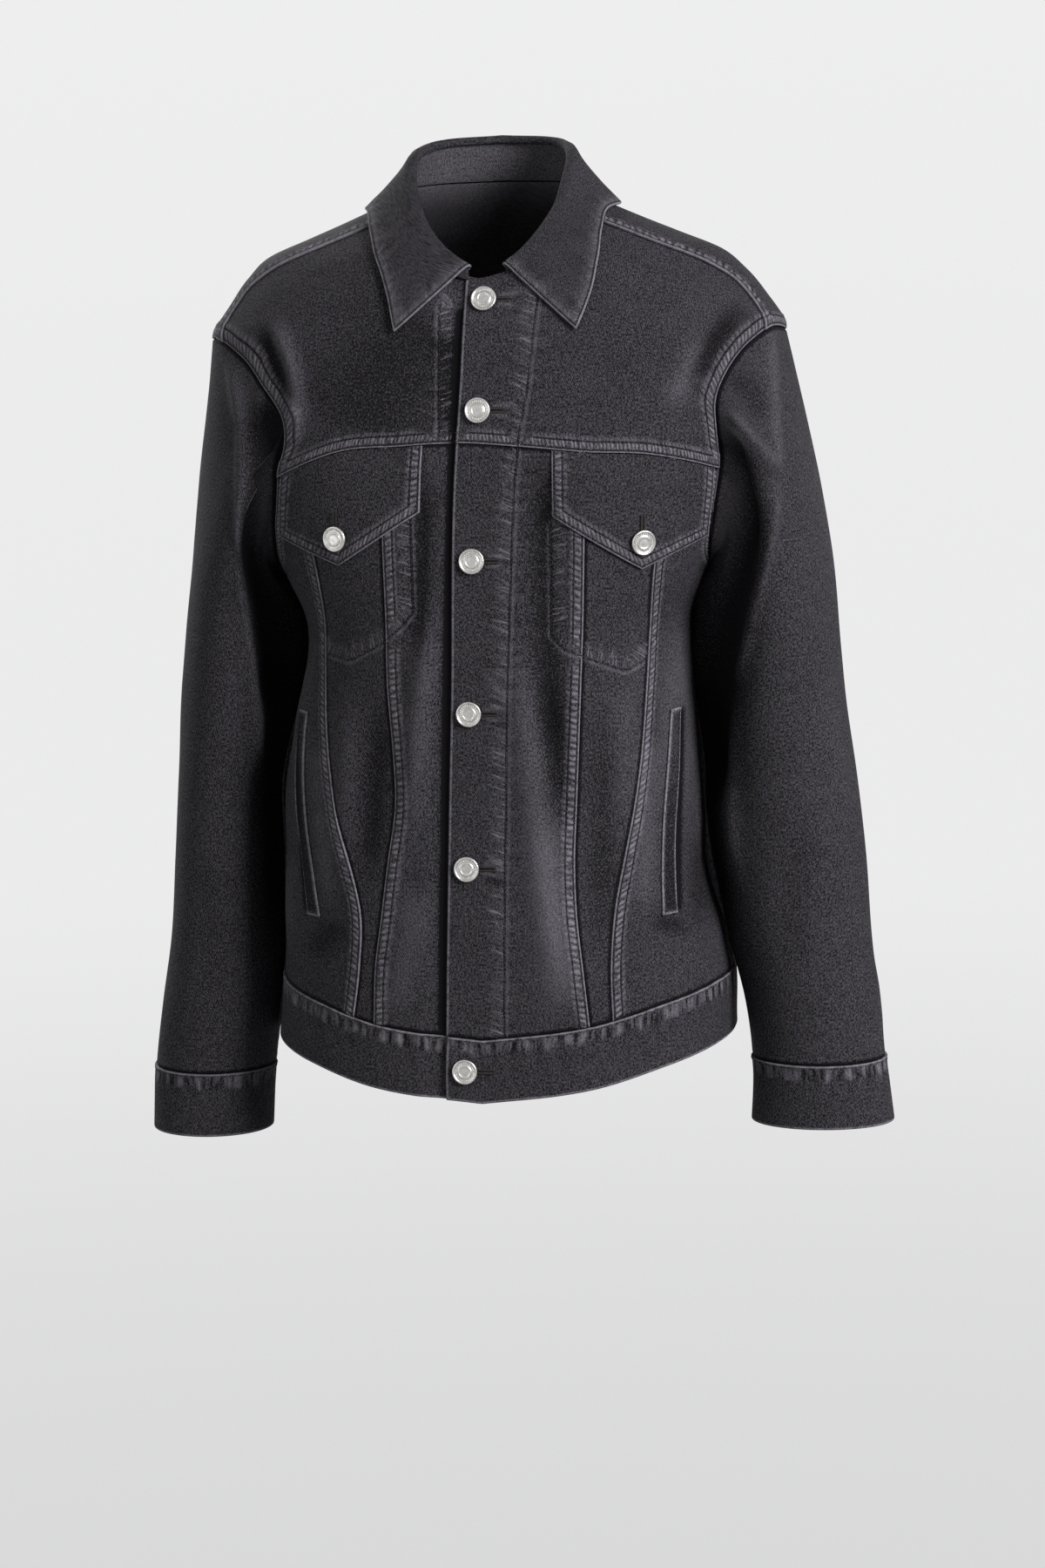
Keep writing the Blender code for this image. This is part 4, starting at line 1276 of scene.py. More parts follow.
class Signal:
    """A node's output that can be written into sums."""

    def __init__(self, tree: "Tree", socket: bpy.types.NodeSocket) -> None:
        """Keep the output and the tree that it belongs to."""
        self.tree, self.socket = tree, socket

    def maths(self, operation: str, *others: "Signal | float") -> "Signal":
        """The result of one operation on this value and others."""
        node = self.tree.node("ShaderNodeMath", dict(enumerate((self, *others))), operation=operation)
        return Signal(self.tree, node.outputs[0])

    __add__ = __radd__ = partialmethod(maths, "ADD")
    __sub__ = partialmethod(maths, "SUBTRACT")
    __mul__ = __rmul__ = partialmethod(maths, "MULTIPLY")
    __truediv__ = partialmethod(maths, "DIVIDE")

    def __rsub__(self, other: float) -> "Signal":
        """A number less this value."""
        return self * -1.0 + other

    def between(self, low: float, high: float) -> "Signal":
        """A smooth step from 0 at low to 1 at high."""
        sockets = {"Value": self, "From Min": low, "From Max": high}
        node = self.tree.node("ShaderNodeMapRange", sockets, interpolation_type="SMOOTHSTEP")
        return Signal(self.tree, node.outputs[0])

    def within(self, low: float, full: float, part: float, high: float,
               past: "Signal | None" = None) -> "Signal":
        """1 from full to part, with soft steps outside them; past is read for the second step if given."""
        return self.between(low, full) - (past or self).between(part, high)

    def clamp(self) -> "Signal":
        """This value kept between 0 and 1."""
        return Signal(self.tree, self.tree.node("ShaderNodeClamp", {0: self}).outputs[0])


class Tree:
    """A node tree that is being written."""

    def __init__(self, tree: bpy.types.NodeTree) -> None:
        """Start with an empty tree."""
        self.tree = tree
        tree.nodes.clear()

    def node(self, kind: str, sockets: dict[int | str, object] | None = None,
             **settings: object) -> bpy.types.Node:
        """Add a node.

        Args:
            kind: The node's type.
            sockets: What each input is set to, or linked from.
            settings: The node's own settings.

        Returns:
            The node.
        """
        made = self.tree.nodes.new(kind)
        for name, value in settings.items():
            setattr(made, name, value)
        for key, value in (sockets or {}).items():
            if isinstance(value, Signal):
                self.tree.links.new(value.socket, made.inputs[key])
            elif isinstance(value, bpy.types.NodeSocket):
                self.tree.links.new(value, made.inputs[key])
            else:
                made.inputs[key].default_value = value
        return made


class Shade(Tree):
    """A material that is being written."""

    def __init__(self, name: str) -> None:
        """Start a material with one shader.

        Args:
            name: The name of the material.
        """
        self.material = bpy.data.materials.new(name)
        self.material.use_nodes = True
        super().__init__(self.material.node_tree)
        self.shader = self.node("ShaderNodeBsdfPrincipled")
        self.node("ShaderNodeOutputMaterial", {"Surface": self.shader.outputs[0]})

    def attribute(self, name: str) -> bpy.types.Node:
        """A node that reads one of the mesh's own attributes."""
        return self.node("ShaderNodeAttribute", attribute_name=name)

    def split(self, vector: bpy.types.NodeSocket) -> tuple[Signal, Signal, Signal]:
        """The three parts of a vector."""
        node = self.node("ShaderNodeSeparateXYZ", {0: vector})
        return tuple(Signal(self, out) for out in node.outputs)

    def join(self, x: Signal | float, y: Signal | float, z: Signal | float = 0.0) -> bpy.types.NodeSocket:
        """A vector of three values."""
        return self.node("ShaderNodeCombineXYZ", {0: x, 1: y, 2: z}).outputs[0]

    def near(self, value: Signal, level: int) -> Signal:
        """1 where a value is within a quarter of a level, falling to 0 at half."""
        return (2.0 - (value - float(level)).maths("ABSOLUTE") * 4.0).clamp()

    def noise(self, vector: bpy.types.NodeSocket, scale: float, detail: float = 2.0,
              rough: float = 0.5) -> Signal:
        """Soft noise about 0, its features about 1 / scale across."""
        sockets = {"Vector": vector, "Scale": scale, "Detail": detail, "Roughness": rough}
        return Signal(self, self.node("ShaderNodeTexNoise", sockets).outputs[0]) - 0.5

    def colour(self, share: Signal, low: Sequence[float], high: Sequence[float]) -> bpy.types.NodeSocket:
        """A colour between two others."""
        node = self.node("ShaderNodeMix", {0: share, 6: (*low, 1), 7: (*high, 1)}, data_type="RGBA")
        return node.outputs[2]

    def bump(self, height: Signal, distance: float, strength: float) -> None:
        """Give the shader's normal a fine relief."""
        node = self.node("ShaderNodeBump", {"Height": height, "Distance": distance, "Strength": strength})
        self.tree.links.new(node.outputs[0], self.shader.inputs["Normal"])

    def set(self, **values: object) -> None:
        """Set or link the shader's inputs, each named with underscores for its spaces."""
        sockets = {socket.name.lower().replace(" ", "_"): socket for socket in self.shader.inputs}
        for name, value in values.items():
            socket = sockets[name]
            if isinstance(value, (Signal, bpy.types.NodeSocket)):
                self.tree.links.new(getattr(value, "socket", value), socket)
            else:
                socket.default_value = value


@dataclass(frozen=True)
class Denim:
    """Washed-black twill, paler on its crests and worn edges and darker in its troughs, where shade is also
    painted.
    """

    name: str
    base: float = 0.136
    wear: float = 0.30
    edge: float = 1.0
    dark: tuple[float, float, float] = (0.0062, 0.0056, 0.0070)
    pale: tuple[float, float, float] = (0.228, 0.216, 0.246)
    wale: float = 0.00125

    def make(self) -> bpy.types.Material:
        """Write the material.

        Returns:
            The material.
        """
        shade = Shade(self.name)
        grain = shade.node("ShaderNodeUVMap", uv_map="grain").outputs[0]
        across, along, _ = shade.split(grain)
        place = shade.node("ShaderNodeTexCoord").outputs["Object"]
        # worn reads the attribute of worn tone and painted shade: paler on worn crests and seams, darker
        # where shade is painted in crease hollows, beside tucked edges and on the sleeves' inner sides.
        worn = Signal(shade, shade.attribute("wear").outputs["Fac"])
        away, run, kind = shade.split(shade.attribute("seam").outputs["Vector"])
        worn_as = (shade.near(kind, finish) for finish in list(Finish)[1:])
        two_rows, band_top, one_row, bare_edge, row_near, row_worn = worn_as
        yarn = shade.noise(shade.join(across * 820.0, along * 560.0), 1.0, 3.0, 0.75)
        slub = shade.noise(shade.join(across * 420.0, along * 110.0), 1.0, 2.0)
        cloud = shade.noise(place, 22.0, 3.0, 0.6)
        patchy = shade.noise(place, 75.0, 3.0, 0.6)
        wobble = shade.noise(place, 160.0, 1.0) * 0.8
        wale = ((across * 2.0 - along) * (0.447 * 2 * math.pi / self.wale) + wobble).maths("SINE")
        uneven = shade.noise(shade.join(run * 0.45, away * 60.0, 3.0), 1.0, 2.0, 0.7)
        strength = shade.noise(shade.join(run * 0.9, away * 150.0, 13.0), 1.0, 2.0, 0.7)
        swell = (((run + uneven * 1.5) * 2 * math.pi + away * 420.0).maths("SINE") * 0.5 + 0.5)
        rope = swell * (strength * 3.2 + 0.65).clamp()
        pull = shade.noise(shade.join(run * 2.4 + away * 150.0, away * 40.0, 21.0), 1.0, 3.0, 0.7)
        pull = pull.between(0.0, 0.24)
        edge = 1.0 - away.between(0.0007, 0.0014)
        bare = 1.0 - away.between(0.0014, 0.0023)
        lines = edge * (two_rows + one_row + band_top) * 0.95 + bare * bare_edge * 0.80
        ropes = away.within(0.0022, 0.0030, 0.0066, 0.0075) * two_rows * rope * 0.80
        beyond = away.within(0.0080, 0.0086, 0.0094, 0.0125) * two_rows * (rope * 0.34 + 0.04)
        streak = shade.noise(shade.join(run * 1.1, away * 30.0, 9.0), 1.0, 2.0, 0.6)
        depth = away + uneven * 0.012
        fringe = away.within(0.0018, 0.0030, 0.0080, 0.0130, depth) * band_top * (streak * 2.4 + 0.16)
        pulls = away.within(0.0004, 0.0014, 0.0020, 0.0150, depth) * row_worn * (pull * 0.85 + 0.05)
        ridge = away.within(0.0006, 0.0016, 0.0020, 0.0045) * row_near * 0.18
        rim = away.within(0.0022, 0.0030, 0.0030, 0.0085) * one_row * (pull * 0.60 + 0.14)
        # Dark lines along the stitch rows: partly the thread's holes, partly painted shade in the sunken
        # grooves.
        first = 1.0 - (away - STITCH_ROWS[0]).maths("ABSOLUTE").between(0.0003, 0.0008)
        second = 1.0 - (away - STITCH_ROWS[1]).maths("ABSOLUTE").between(0.0003, 0.0008)
        centre = (1.0 - away.between(0.0004, 0.0010)) * (row_near + row_worn)
        sunk = first * (two_rows + one_row) * 0.7 + second * two_rows + centre
        marks = lines * (strength * 2.0 + 0.75).clamp() + ropes + beyond + fringe + pulls + ridge + rim
        pale = (
            self.base
            + cloud * 0.07
            + patchy * 0.08
            + yarn * 1.55
            + slub * 0.25
            + wale * 0.060
            + worn * self.wear
            + marks * self.edge
            - sunk * 0.22
        ).clamp()
        relief = wale * 0.5 + yarn * 1.0 + (ropes + fringe + pulls + beyond) * 3.0 * self.edge
        shade.bump(relief, 0.00024, 0.60)
        shade.set(
            base_color=shade.colour(pale, self.dark, self.pale),
            roughness=0.86,
            specular_ior_level=0.06,
        )
        return shade.material


@dataclass(frozen=True)
class Thread:
    """Twisted sewing thread."""

    name: str
    colour: tuple[float, float, float] = (0.016, 0.015, 0.018)

    def make(self) -> bpy.types.Material:
        """Write the material."""
        shade = Shade(self.name)
        shade.set(base_color=(*self.colour, 1), roughness=0.55, specular_ior_level=0.35)
        return shade.material


@dataclass(frozen=True)
class Nickel:
    """Satin nickel, a little uneven."""

    name: str
    colour: tuple[float, float, float] = (0.62, 0.605, 0.585)
    dull: tuple[float, float, float] = (0.22, 0.215, 0.205)

    def make(self) -> bpy.types.Material:
        """Write the material.

        Returns:
            The material.
        """
        shade = Shade(self.name)
        place = shade.node("ShaderNodeTexCoord").outputs["Object"]
        smear = shade.noise(place, 420.0, 3.0, 0.6)
        fine = shade.noise(place, 2600.0, 2.0)
        shade.bump(fine, 0.00004, 0.5)
        shade.set(
            base_color=shade.colour((smear * 1.2 + 0.35).clamp(), self.colour, self.dull),
            roughness=smear * 0.25 + 0.36,
            metallic=1.0,
        )
        return shade.material


@dataclass(frozen=True)
class Finishes:
    """The jacket's materials."""

    face: bpy.types.Material
    inside: bpy.types.Material
    thread: bpy.types.Material
    hole: bpy.types.Material
    nickel: bpy.types.Material

    @classmethod
    def make(cls) -> "Finishes":
        """Write all the materials.

        Returns:
            The materials.
        """
        return cls(
            face=Denim("washed_black_denim").make(),
            inside=Denim("denim_inside", base=0.30, wear=0.1, edge=0.0).make(),
            thread=Thread("black_thread").make(),
            hole=Thread("buttonhole_thread", (0.020, 0.016, 0.014)).make(),
            nickel=Nickel("satin_nickel").make(),
        )


class Workshop:
    """Builds the jacket's pieces and gathers their rows of stitches."""

    def __init__(self, finishes: Finishes) -> None:
        """Start with no pieces."""
        self.finishes = finishes
        self.rows: dict[str, list[StitchRow]] = {}

    def cloth(self, patch: Patch, thickness: float, rests_on: str, group: str,
              ring: bool = False) -> None:
        """Make a cloth piece from its patch.

        Args:
            patch: The piece's grid.
            thickness: The cloth's thickness.
            rests_on: The nodes that it is sewn to or lies on, with spaces between; not used.
            group: The stitching that its rows belong to.
            ring: Whether its near and far edges are one.
        """
        piece = patch.build(thickness, self.finishes, ring)
        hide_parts(patch.name)
        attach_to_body(piece, "root")
        rests_on.split()
        self.rows.setdefault(group, []).extend(patch.stitch_rows())

    def stitches(self) -> None:
        """Sew every row that the pieces asked for."""
        for group, rows in self.rows.items():
            if not rows:
                continue
            piece = Stitching().build("stitches_" + group, rows, self.finishes.thread)
            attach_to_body(piece, "root")
            log.info("%s: %d rows, %d faces", piece.name, len(rows), len(piece.data.polygons))


class Geometry(Tree):
    """A geometry node tree that is being written, with named inputs."""

    def __init__(self, name: str, inputs: dict[str, object]) -> None:
        """Start a tree.

        Args:
            name: The tree's name.
            inputs: Each input's name and value: a number, a whole number, or a material.
        """
        super().__init__(bpy.data.node_groups.new(name, "GeometryNodeTree"))
        face = self.tree.interface
        face.new_socket("Geometry", in_out="INPUT", socket_type="NodeSocketGeometry")
        face.new_socket("Geometry", in_out="OUTPUT", socket_type="NodeSocketGeometry")
        kinds = {float: "NodeSocketFloat", int: "NodeSocketInt", bpy.types.Material: "NodeSocketMaterial"}
        self.values = {}
        for label, value in inputs.items():
            socket = face.new_socket(label, in_out="INPUT", socket_type=kinds[type(value)])
            self.values[socket.identifier] = value
        self.entry = self.node("NodeGroupInput")

    def finish(self, geometry: bpy.types.NodeSocket) -> None:
        """Realize the instances, give them the material and send them out.

        Args:
            geometry: What the tree has made.
        """
        real = self.node("GeometryNodeRealizeInstances", {0: geometry})
        sockets = {0: real.outputs[0], 2: self.entry.outputs["Material"]}
        dressed = self.node("GeometryNodeSetMaterial", sockets)
        self.node("NodeGroupOutput", {0: dressed.outputs[0]})

    def apply(self, piece: bpy.types.Object) -> None:
        """Run the tree on an object and keep what it makes as a plain mesh.

        Args:
            piece: The object to run the tree on.
        """
        modifier = piece.modifiers.new(self.tree.name, "NODES")
        modifier.node_group = self.tree
        for identifier, value in self.values.items():
            modifier[identifier] = value
        graph = bpy.context.evaluated_depsgraph_get()
        made = bpy.data.meshes.new_from_object(piece.evaluated_get(graph), depsgraph=graph)
        piece.modifiers.remove(modifier)
        before = piece.data
        piece.data = made
        made.name = piece.name
        bpy.data.meshes.remove(before)


def polylines(name: str, rows: Sequence[StitchRow]) -> bpy.types.Object:
    """An object of loose edges along rows of points, which keep their facing.

    Args:
        name: The name of the object.
        rows: The rows of points.

    Returns:
        The object, in the scene.
    """
    edges, start = [], 0
    for row in rows:
        edges += [(k, k + 1) for k in range(start, start + len(row.points) - 1)]
        start += len(row.points)
    piece = new_object(name, np.concatenate([row.points for row in rows]), edges, [])
    attach(piece.data, "facing", np.concatenate([row.facing for row in rows]))
    return piece


@dataclass(frozen=True)
class Stitching:
    """Lock stitches, each a small grain of thread laid along its row."""

    pitch: float = 0.0032
    length: float = 0.0023
    width: float = 0.00060
    lift: float = 0.00010

    def build(self, name: str, rows: Sequence[StitchRow], thread: bpy.types.Material) -> bpy.types.Object:
        """Sew rows of stitches as one piece.

        Args:
            name: The piece's name.
            rows: The rows.
            thread: The thread's material.

        Returns:
            The piece.
        """
        lifted = [StitchRow(row.points + row.facing * self.lift, row.facing) for row in rows]
        piece = polylines(name, lifted)
        inputs = {"Pitch": self.pitch, "Length": self.length, "Width": self.width, "Material": thread}
        tree = Geometry("lock_stitches", inputs)
        tree.finish(scatter(tree, 5, 3))
        tree.apply(piece)
        piece.data.shade_smooth()
        return piece


def scatter(tree: Geometry, segments: int, rings: int, across: bool = False) -> bpy.types.NodeSocket:
    """Lay grains of thread along the tree's incoming edges.

    Args:
        tree: The tree, whose inputs are Pitch, Length and Width.
        segments: How many sides a grain has.
        rings: How many rings a grain has.
        across: Whether the grains lie across the line.

    Returns:
        The instances.
    """
    entry = tree.entry.outputs
    facing = tree.node("GeometryNodeInputNamedAttribute", {0: "facing"}, data_type="FLOAT_VECTOR")
    line = tree.node("GeometryNodeMeshToCurve", {0: entry[0]})
    spacing = {0: line.outputs[0], "Length": entry["Pitch"]}
    even = tree.node("GeometryNodeResampleCurve", spacing, mode="LENGTH")
    ahead = tree.node("GeometryNodeInputTangent")
    turned = tree.node(
        "FunctionNodeAxesToRotation",
        {0: facing.outputs[0], 1: ahead.outputs[0]},
        primary_axis="Z",
        secondary_axis="Y" if across else "X",
    )
    size = tree.node("ShaderNodeCombineXYZ", {0: entry["Length"], 1: entry["Width"], 2: entry["Width"]})
    grain = tree.node("GeometryNodeMeshUVSphere", {0: segments, 1: rings, 2: 0.5})
    upright = tree.node("GeometryNodeTransform", {0: grain.outputs[0], "Rotation": (0, math.pi / 2, 0)})
    shaped = tree.node("GeometryNodeTransform", {0: upright.outputs[0], "Scale": size.outputs[0]})
    return tree.node(
        "GeometryNodeInstanceOnPoints",
        {"Points": even.outputs[0], "Instance": shaped.outputs[0], "Rotation": turned.outputs[0]},
    ).outputs[0]


def path_run(path: Array) -> Array:
    """How far along a path each of its points lies."""
    return np.concatenate([[0], np.cumsum(np.linalg.norm(np.diff(path, axis=0), axis=1))])


def even_path(path: Array, step: float = 0.0025) -> Array:
    """Points at even steps along a path between corners."""
    run = path_run(path)
    at = np.linspace(0, run[-1], int(run[-1] / step) + 2)
    return stack(*(np.interp(at, run, column) for column in path.T))


def flat_places(places: Array) -> Array:
    """Places round the body from places on the front view."""
    return stack(BODY.angle_across(places[..., 0], places[..., 1]), places[..., 1])


def creases(*rows: Sequence[float]) -> tuple[Crease, ...]:
    """Creases from rows of a start, bend, end, width and height in millimetres, a fade and a paleness, which
    also paints shade in hollows.

    Args:
        *rows: The seven numbers of each fold.

    Returns:
        The folds, in metres.
    """
    made = []
    for *lengths, fade, paler in rows:
        metres = tuple(length / 1000 for length in lengths)
        made.append(Crease(metres[:2], metres[2:4], metres[4:6], *metres[6:], fade, paler))
    return tuple(made)


# The last number of each fold makes a rise paler, as worn cloth, and darkens a hollow with painted shade.
FRONT_CREASES = {
    Side.LEFT: creases(
        # A deep fold falls beside the closure, and opens into a broad ridge towards the hem.
        (46, -172, 50, -270, 52, -410, 11, -5.7, 0.25, 2),
        (50, -330, 56, -390, 58, -455, 8, -4.1, 0.4, 2.2),
        (44, -430, 50, -510, 60, -592, 14, 1, 0.25, 2.2),
        (30, -300, 36, -440, 58, -590, 13, 5.4, 0.25, 1.7),
        (86, -350, 94, -430, 82, -560, 11, -3, 0.4, 1.4),
        (108, -300, 104, -390, 88, -500, 10, 2.4, 0.4, 1),
        # Drags run from the armhole towards the chest.
        (190, -70, 172, -98, 150, -135, 7, -3.5, 0.3, 2.7),
        (166, -92, 148, -122, 132, -156, 9, 3.8, 0.35, 2),
        # The side falls in towards the waist and out again over the pocket.
        (142, -290, 128, -370, 141, -470, 10, 3, 0.35, 1.7),
        # A painted shadow darkens the pocket's opening beside its welt, with paler cloth in front of it.
        (137.2, -366, 136.2, -440, 138, -517, 1.8, -1, 0.04, 9),
        (119.6, -376, 116, -440, 115, -520, 8, 0.6, 0.2, 1.8),
        (155, -455, 150, -500, 160, -545, 9, -3, 0.4, 1.7),
        (120, -510, 133, -530, 150, -528, 6, -1.9, 0.4, 1.7),
        # Short pulls at the closure's stitching.
        (4, -330, 14, -345, 24, -352, 3, 1.1, 0.3, 1.7),
        (6, -372, 16, -366, 22, -372, 3, -1.1, 0.3, 1.7),
        (2, -462, 12, -470, 19, -470, 3, 1.1, 0.3, 1.7),
        (0, -486, 10, -480, 18, -487, 3, -1.1, 0.3, 1.7),
    ),
    Side.RIGHT: creases(
        # The over front casts its shade beside the edge.
        (-10.5, -70, -19.5, -250, -31, -600, 2.6, -0.6, 0.02, 14),
        # A broad, shallow hollow darkens the front below the collar with painted shade.
        (-30, -70, -65, -110, -95, -170, 46, -0.3, 0.2, 1.5),
        (-44, -480, -56, -540, -70, -590, 12, 1, 0.25, 1.8),
        # Soft folds hang from the chest beside the closure.
        (-36, -180, -41, -250, -48, -340, 9, -4.3, 0.3, 2),
        (-32, -270, -45, -380, -66, -530, 10, 4.6, 0.3, 1.7),
        (-58, -360, -62, -430, -52, -520, 10, -2.7, 0.4, 1.2),
        (-72, -340, -80, -420, -90, -500, 10, -4.1, 0.35, 1.9),
        (-100, -330, -98, -410, -112, -500, 10, 2.7, 0.4, 1),
        (-23, -75, -24, -120, -23, -166, 6, -2.7, 0.3, 2.2),
        # The yoke drags from the front of the shoulder.
        (-155, -76, -124, -112, -134, -172, 7, 4.6, 0.25, 2.4),
        (-166, -80, -144, -110, -140, -140, 6, -3.8, 0.3, 2.7),
        # The side is drawn in at the waist.
        (-130, -300, -146, -360, -140, -440, 10, 3, 0.4, 1.5),
        # A painted shadow darkens the pocket's opening beside its welt, with paler cloth in front of it.
        (-140, -366, -145.2, -440, -137, -517, 1.8, -1, 0.04, 9),
        (-124, -380, -125, -440, -115, -516, 8, 0.6, 0.2, 1.8),
        (-100, -520, -120, -527, -142, -553, 9, -2.4, 0.4, 1.7),
        (-150, -470, -160, -505, -156, -560, 9, 2.2, 0.4, 1.2),
    ),
}
BACK_CREASES = {
    Side.LEFT: creases(
        (40, -175, 50, -290, 36, -440, 14, 4.1, 0.35, 1.4),
        (66, -230, 74, -330, 60, -500, 12, -4.6, 0.35, 1.5),
        (118, -180, 132, -240, 122, -330, 11, 4.1, 0.35, 1.5),
        (150, -150, 148, -210, 140, -260, 9, -4.1, 0.35, 1.7),
        (14, -300, 6, -400, 18, -540, 12, -3, 0.4, 1.4),
        (110, -380, 104, -450, 124, -560, 12, 3.5, 0.4, 1.2),
        (175, -70, 150, -100, 100, -110, 10, -2.4, 0.35, 1.4),
    ),
    Side.RIGHT: creases(
        (-30, -180, -24, -260, -40, -400, 13, -3.5, 0.35, 1.4),
        (-58, -200, -52, -330, -70, -470, 13, 4.3, 0.35, 1.4),
        (-104, -190, -118, -260, -106, -380, 11, -4.3, 0.35, 1.7),
        (-142, -160, -134, -230, -140, -300, 10, 3.5, 0.35, 1.5),
        (-128, -420, -120, -490, -138, -560, 12, -3, 0.4, 1.2),
        (-170, -80, -140, -96, -110, -122, 10, 2.4, 0.35, 1.2),
    ),
}
SLEEVE_CREASES = {
    Side.LEFT: creases(
        # The front of the arm keeps a pressed line, and a drag from the armhole ends in a pinch. Behind
        # the line, a deep hollow towards the body is darkened with painted shade.
        (-68, -85, -50, -150, -36, -200, 4.5, 2, 0.2, 1.6),
        (-10, -148, -22, -168, -38, -196, 5.5, 4, 0.2, 1.5),
        (-30, -118, -36, -140, -44, -160, 9, -3, 0.3, 1.2),
        (-6, -165, 22, -280, 66, -450, 20, -12.5, 0.12, 4.2),
        (-34, -196, 0, -270, 30, -362, 6, 5.5, 0.15, 1.5),
        (26, -350, 44, -420, 40, -520, 7, 3.4, 0.3, 1.2),
        (60, -330, 76, -430, 66, -560, 18, -6, 0.25, 3),
        (-20, -440, 0, -500, 12, -590, 14, -1.8, 0.4, 0.5),
        (-50, -330, -56, -400, -44, -470, 14, 1.6, 0.4, 0.4),
        # The outer side and the elbow fold softly.
        (-78, -130, -92, -230, -84, -340, 18, 2, 0.4, 0.7),
        (-112, -150, -106, -250, -122, -350, 16, -3, 0.4, 0.9),
        (-100, -400, -126, -420, -160, -414, 10, 2.6, 0.35, 0.9),
        (-104, -436, -130, -452, -158, -448, 10, -2.4, 0.35, 0.9),
        (-100, -560, -92, -600, -108, -636, 12, 1.6, 0.4, 0.6),
        # Underneath, the cloth bears on the body below the armhole, and painted shade darkens the bulge
        # there.
        (66, -190, 80, -240, 88, -300, 22, 8.5, 0.2, -0.5),
        (-150, -300, -168, -350, -190, -380, 12, 2.6, 0.4, 0.8),
        (-140, -360, -160, -400, -185, -420, 12, -2.6, 0.4, 0.8),
    ),
    Side.RIGHT: creases(
        # The front of the arm keeps a pressed line, and falls away behind it into a deep hollow darkened with
        # painted shade.
        (-58, -100, -26, -170, 10, -262, 5, 4.5, 0.2, 1.8),
        (6, -250, 24, -330, 48, -430, 6, 4.5, 0.2, 1.4),
        (-26, -130, 26, -210, 60, -380, 18, -12, 0.12, 4),
        (50, -320, 74, -420, 68, -570, 18, -6, 0.25, 3),
        (-20, -470, -6, -520, 8, -600, 13, -1.6, 0.4, 0.5),
        (-70, -250, -62, -330, -70, -420, 16, 1.4, 0.4, 0.4),
        # The outer side and the elbow fold softly.
        (-84, -120, -78, -220, -94, -320, 18, 2, 0.4, 0.7),
        (-120, -160, -110, -240, -118, -330, 15, -3, 0.4, 0.9),
        (-96, -380, -120, -396, -150, -384, 11, 2.4, 0.35, 0.9),
        (-108, -420, -134, -440, -166, -428, 10, -2.6, 0.35, 0.9),
        (-112, -550, -100, -600, -104, -640, 12, 1.6, 0.4, 0.6),
        (-150, -310, -166, -350, -188, -375, 12, 2.6, 0.4, 0.8),
        (-142, -365, -162, -395, -186, -430, 12, -2.6, 0.4, 0.8),
    ),
}


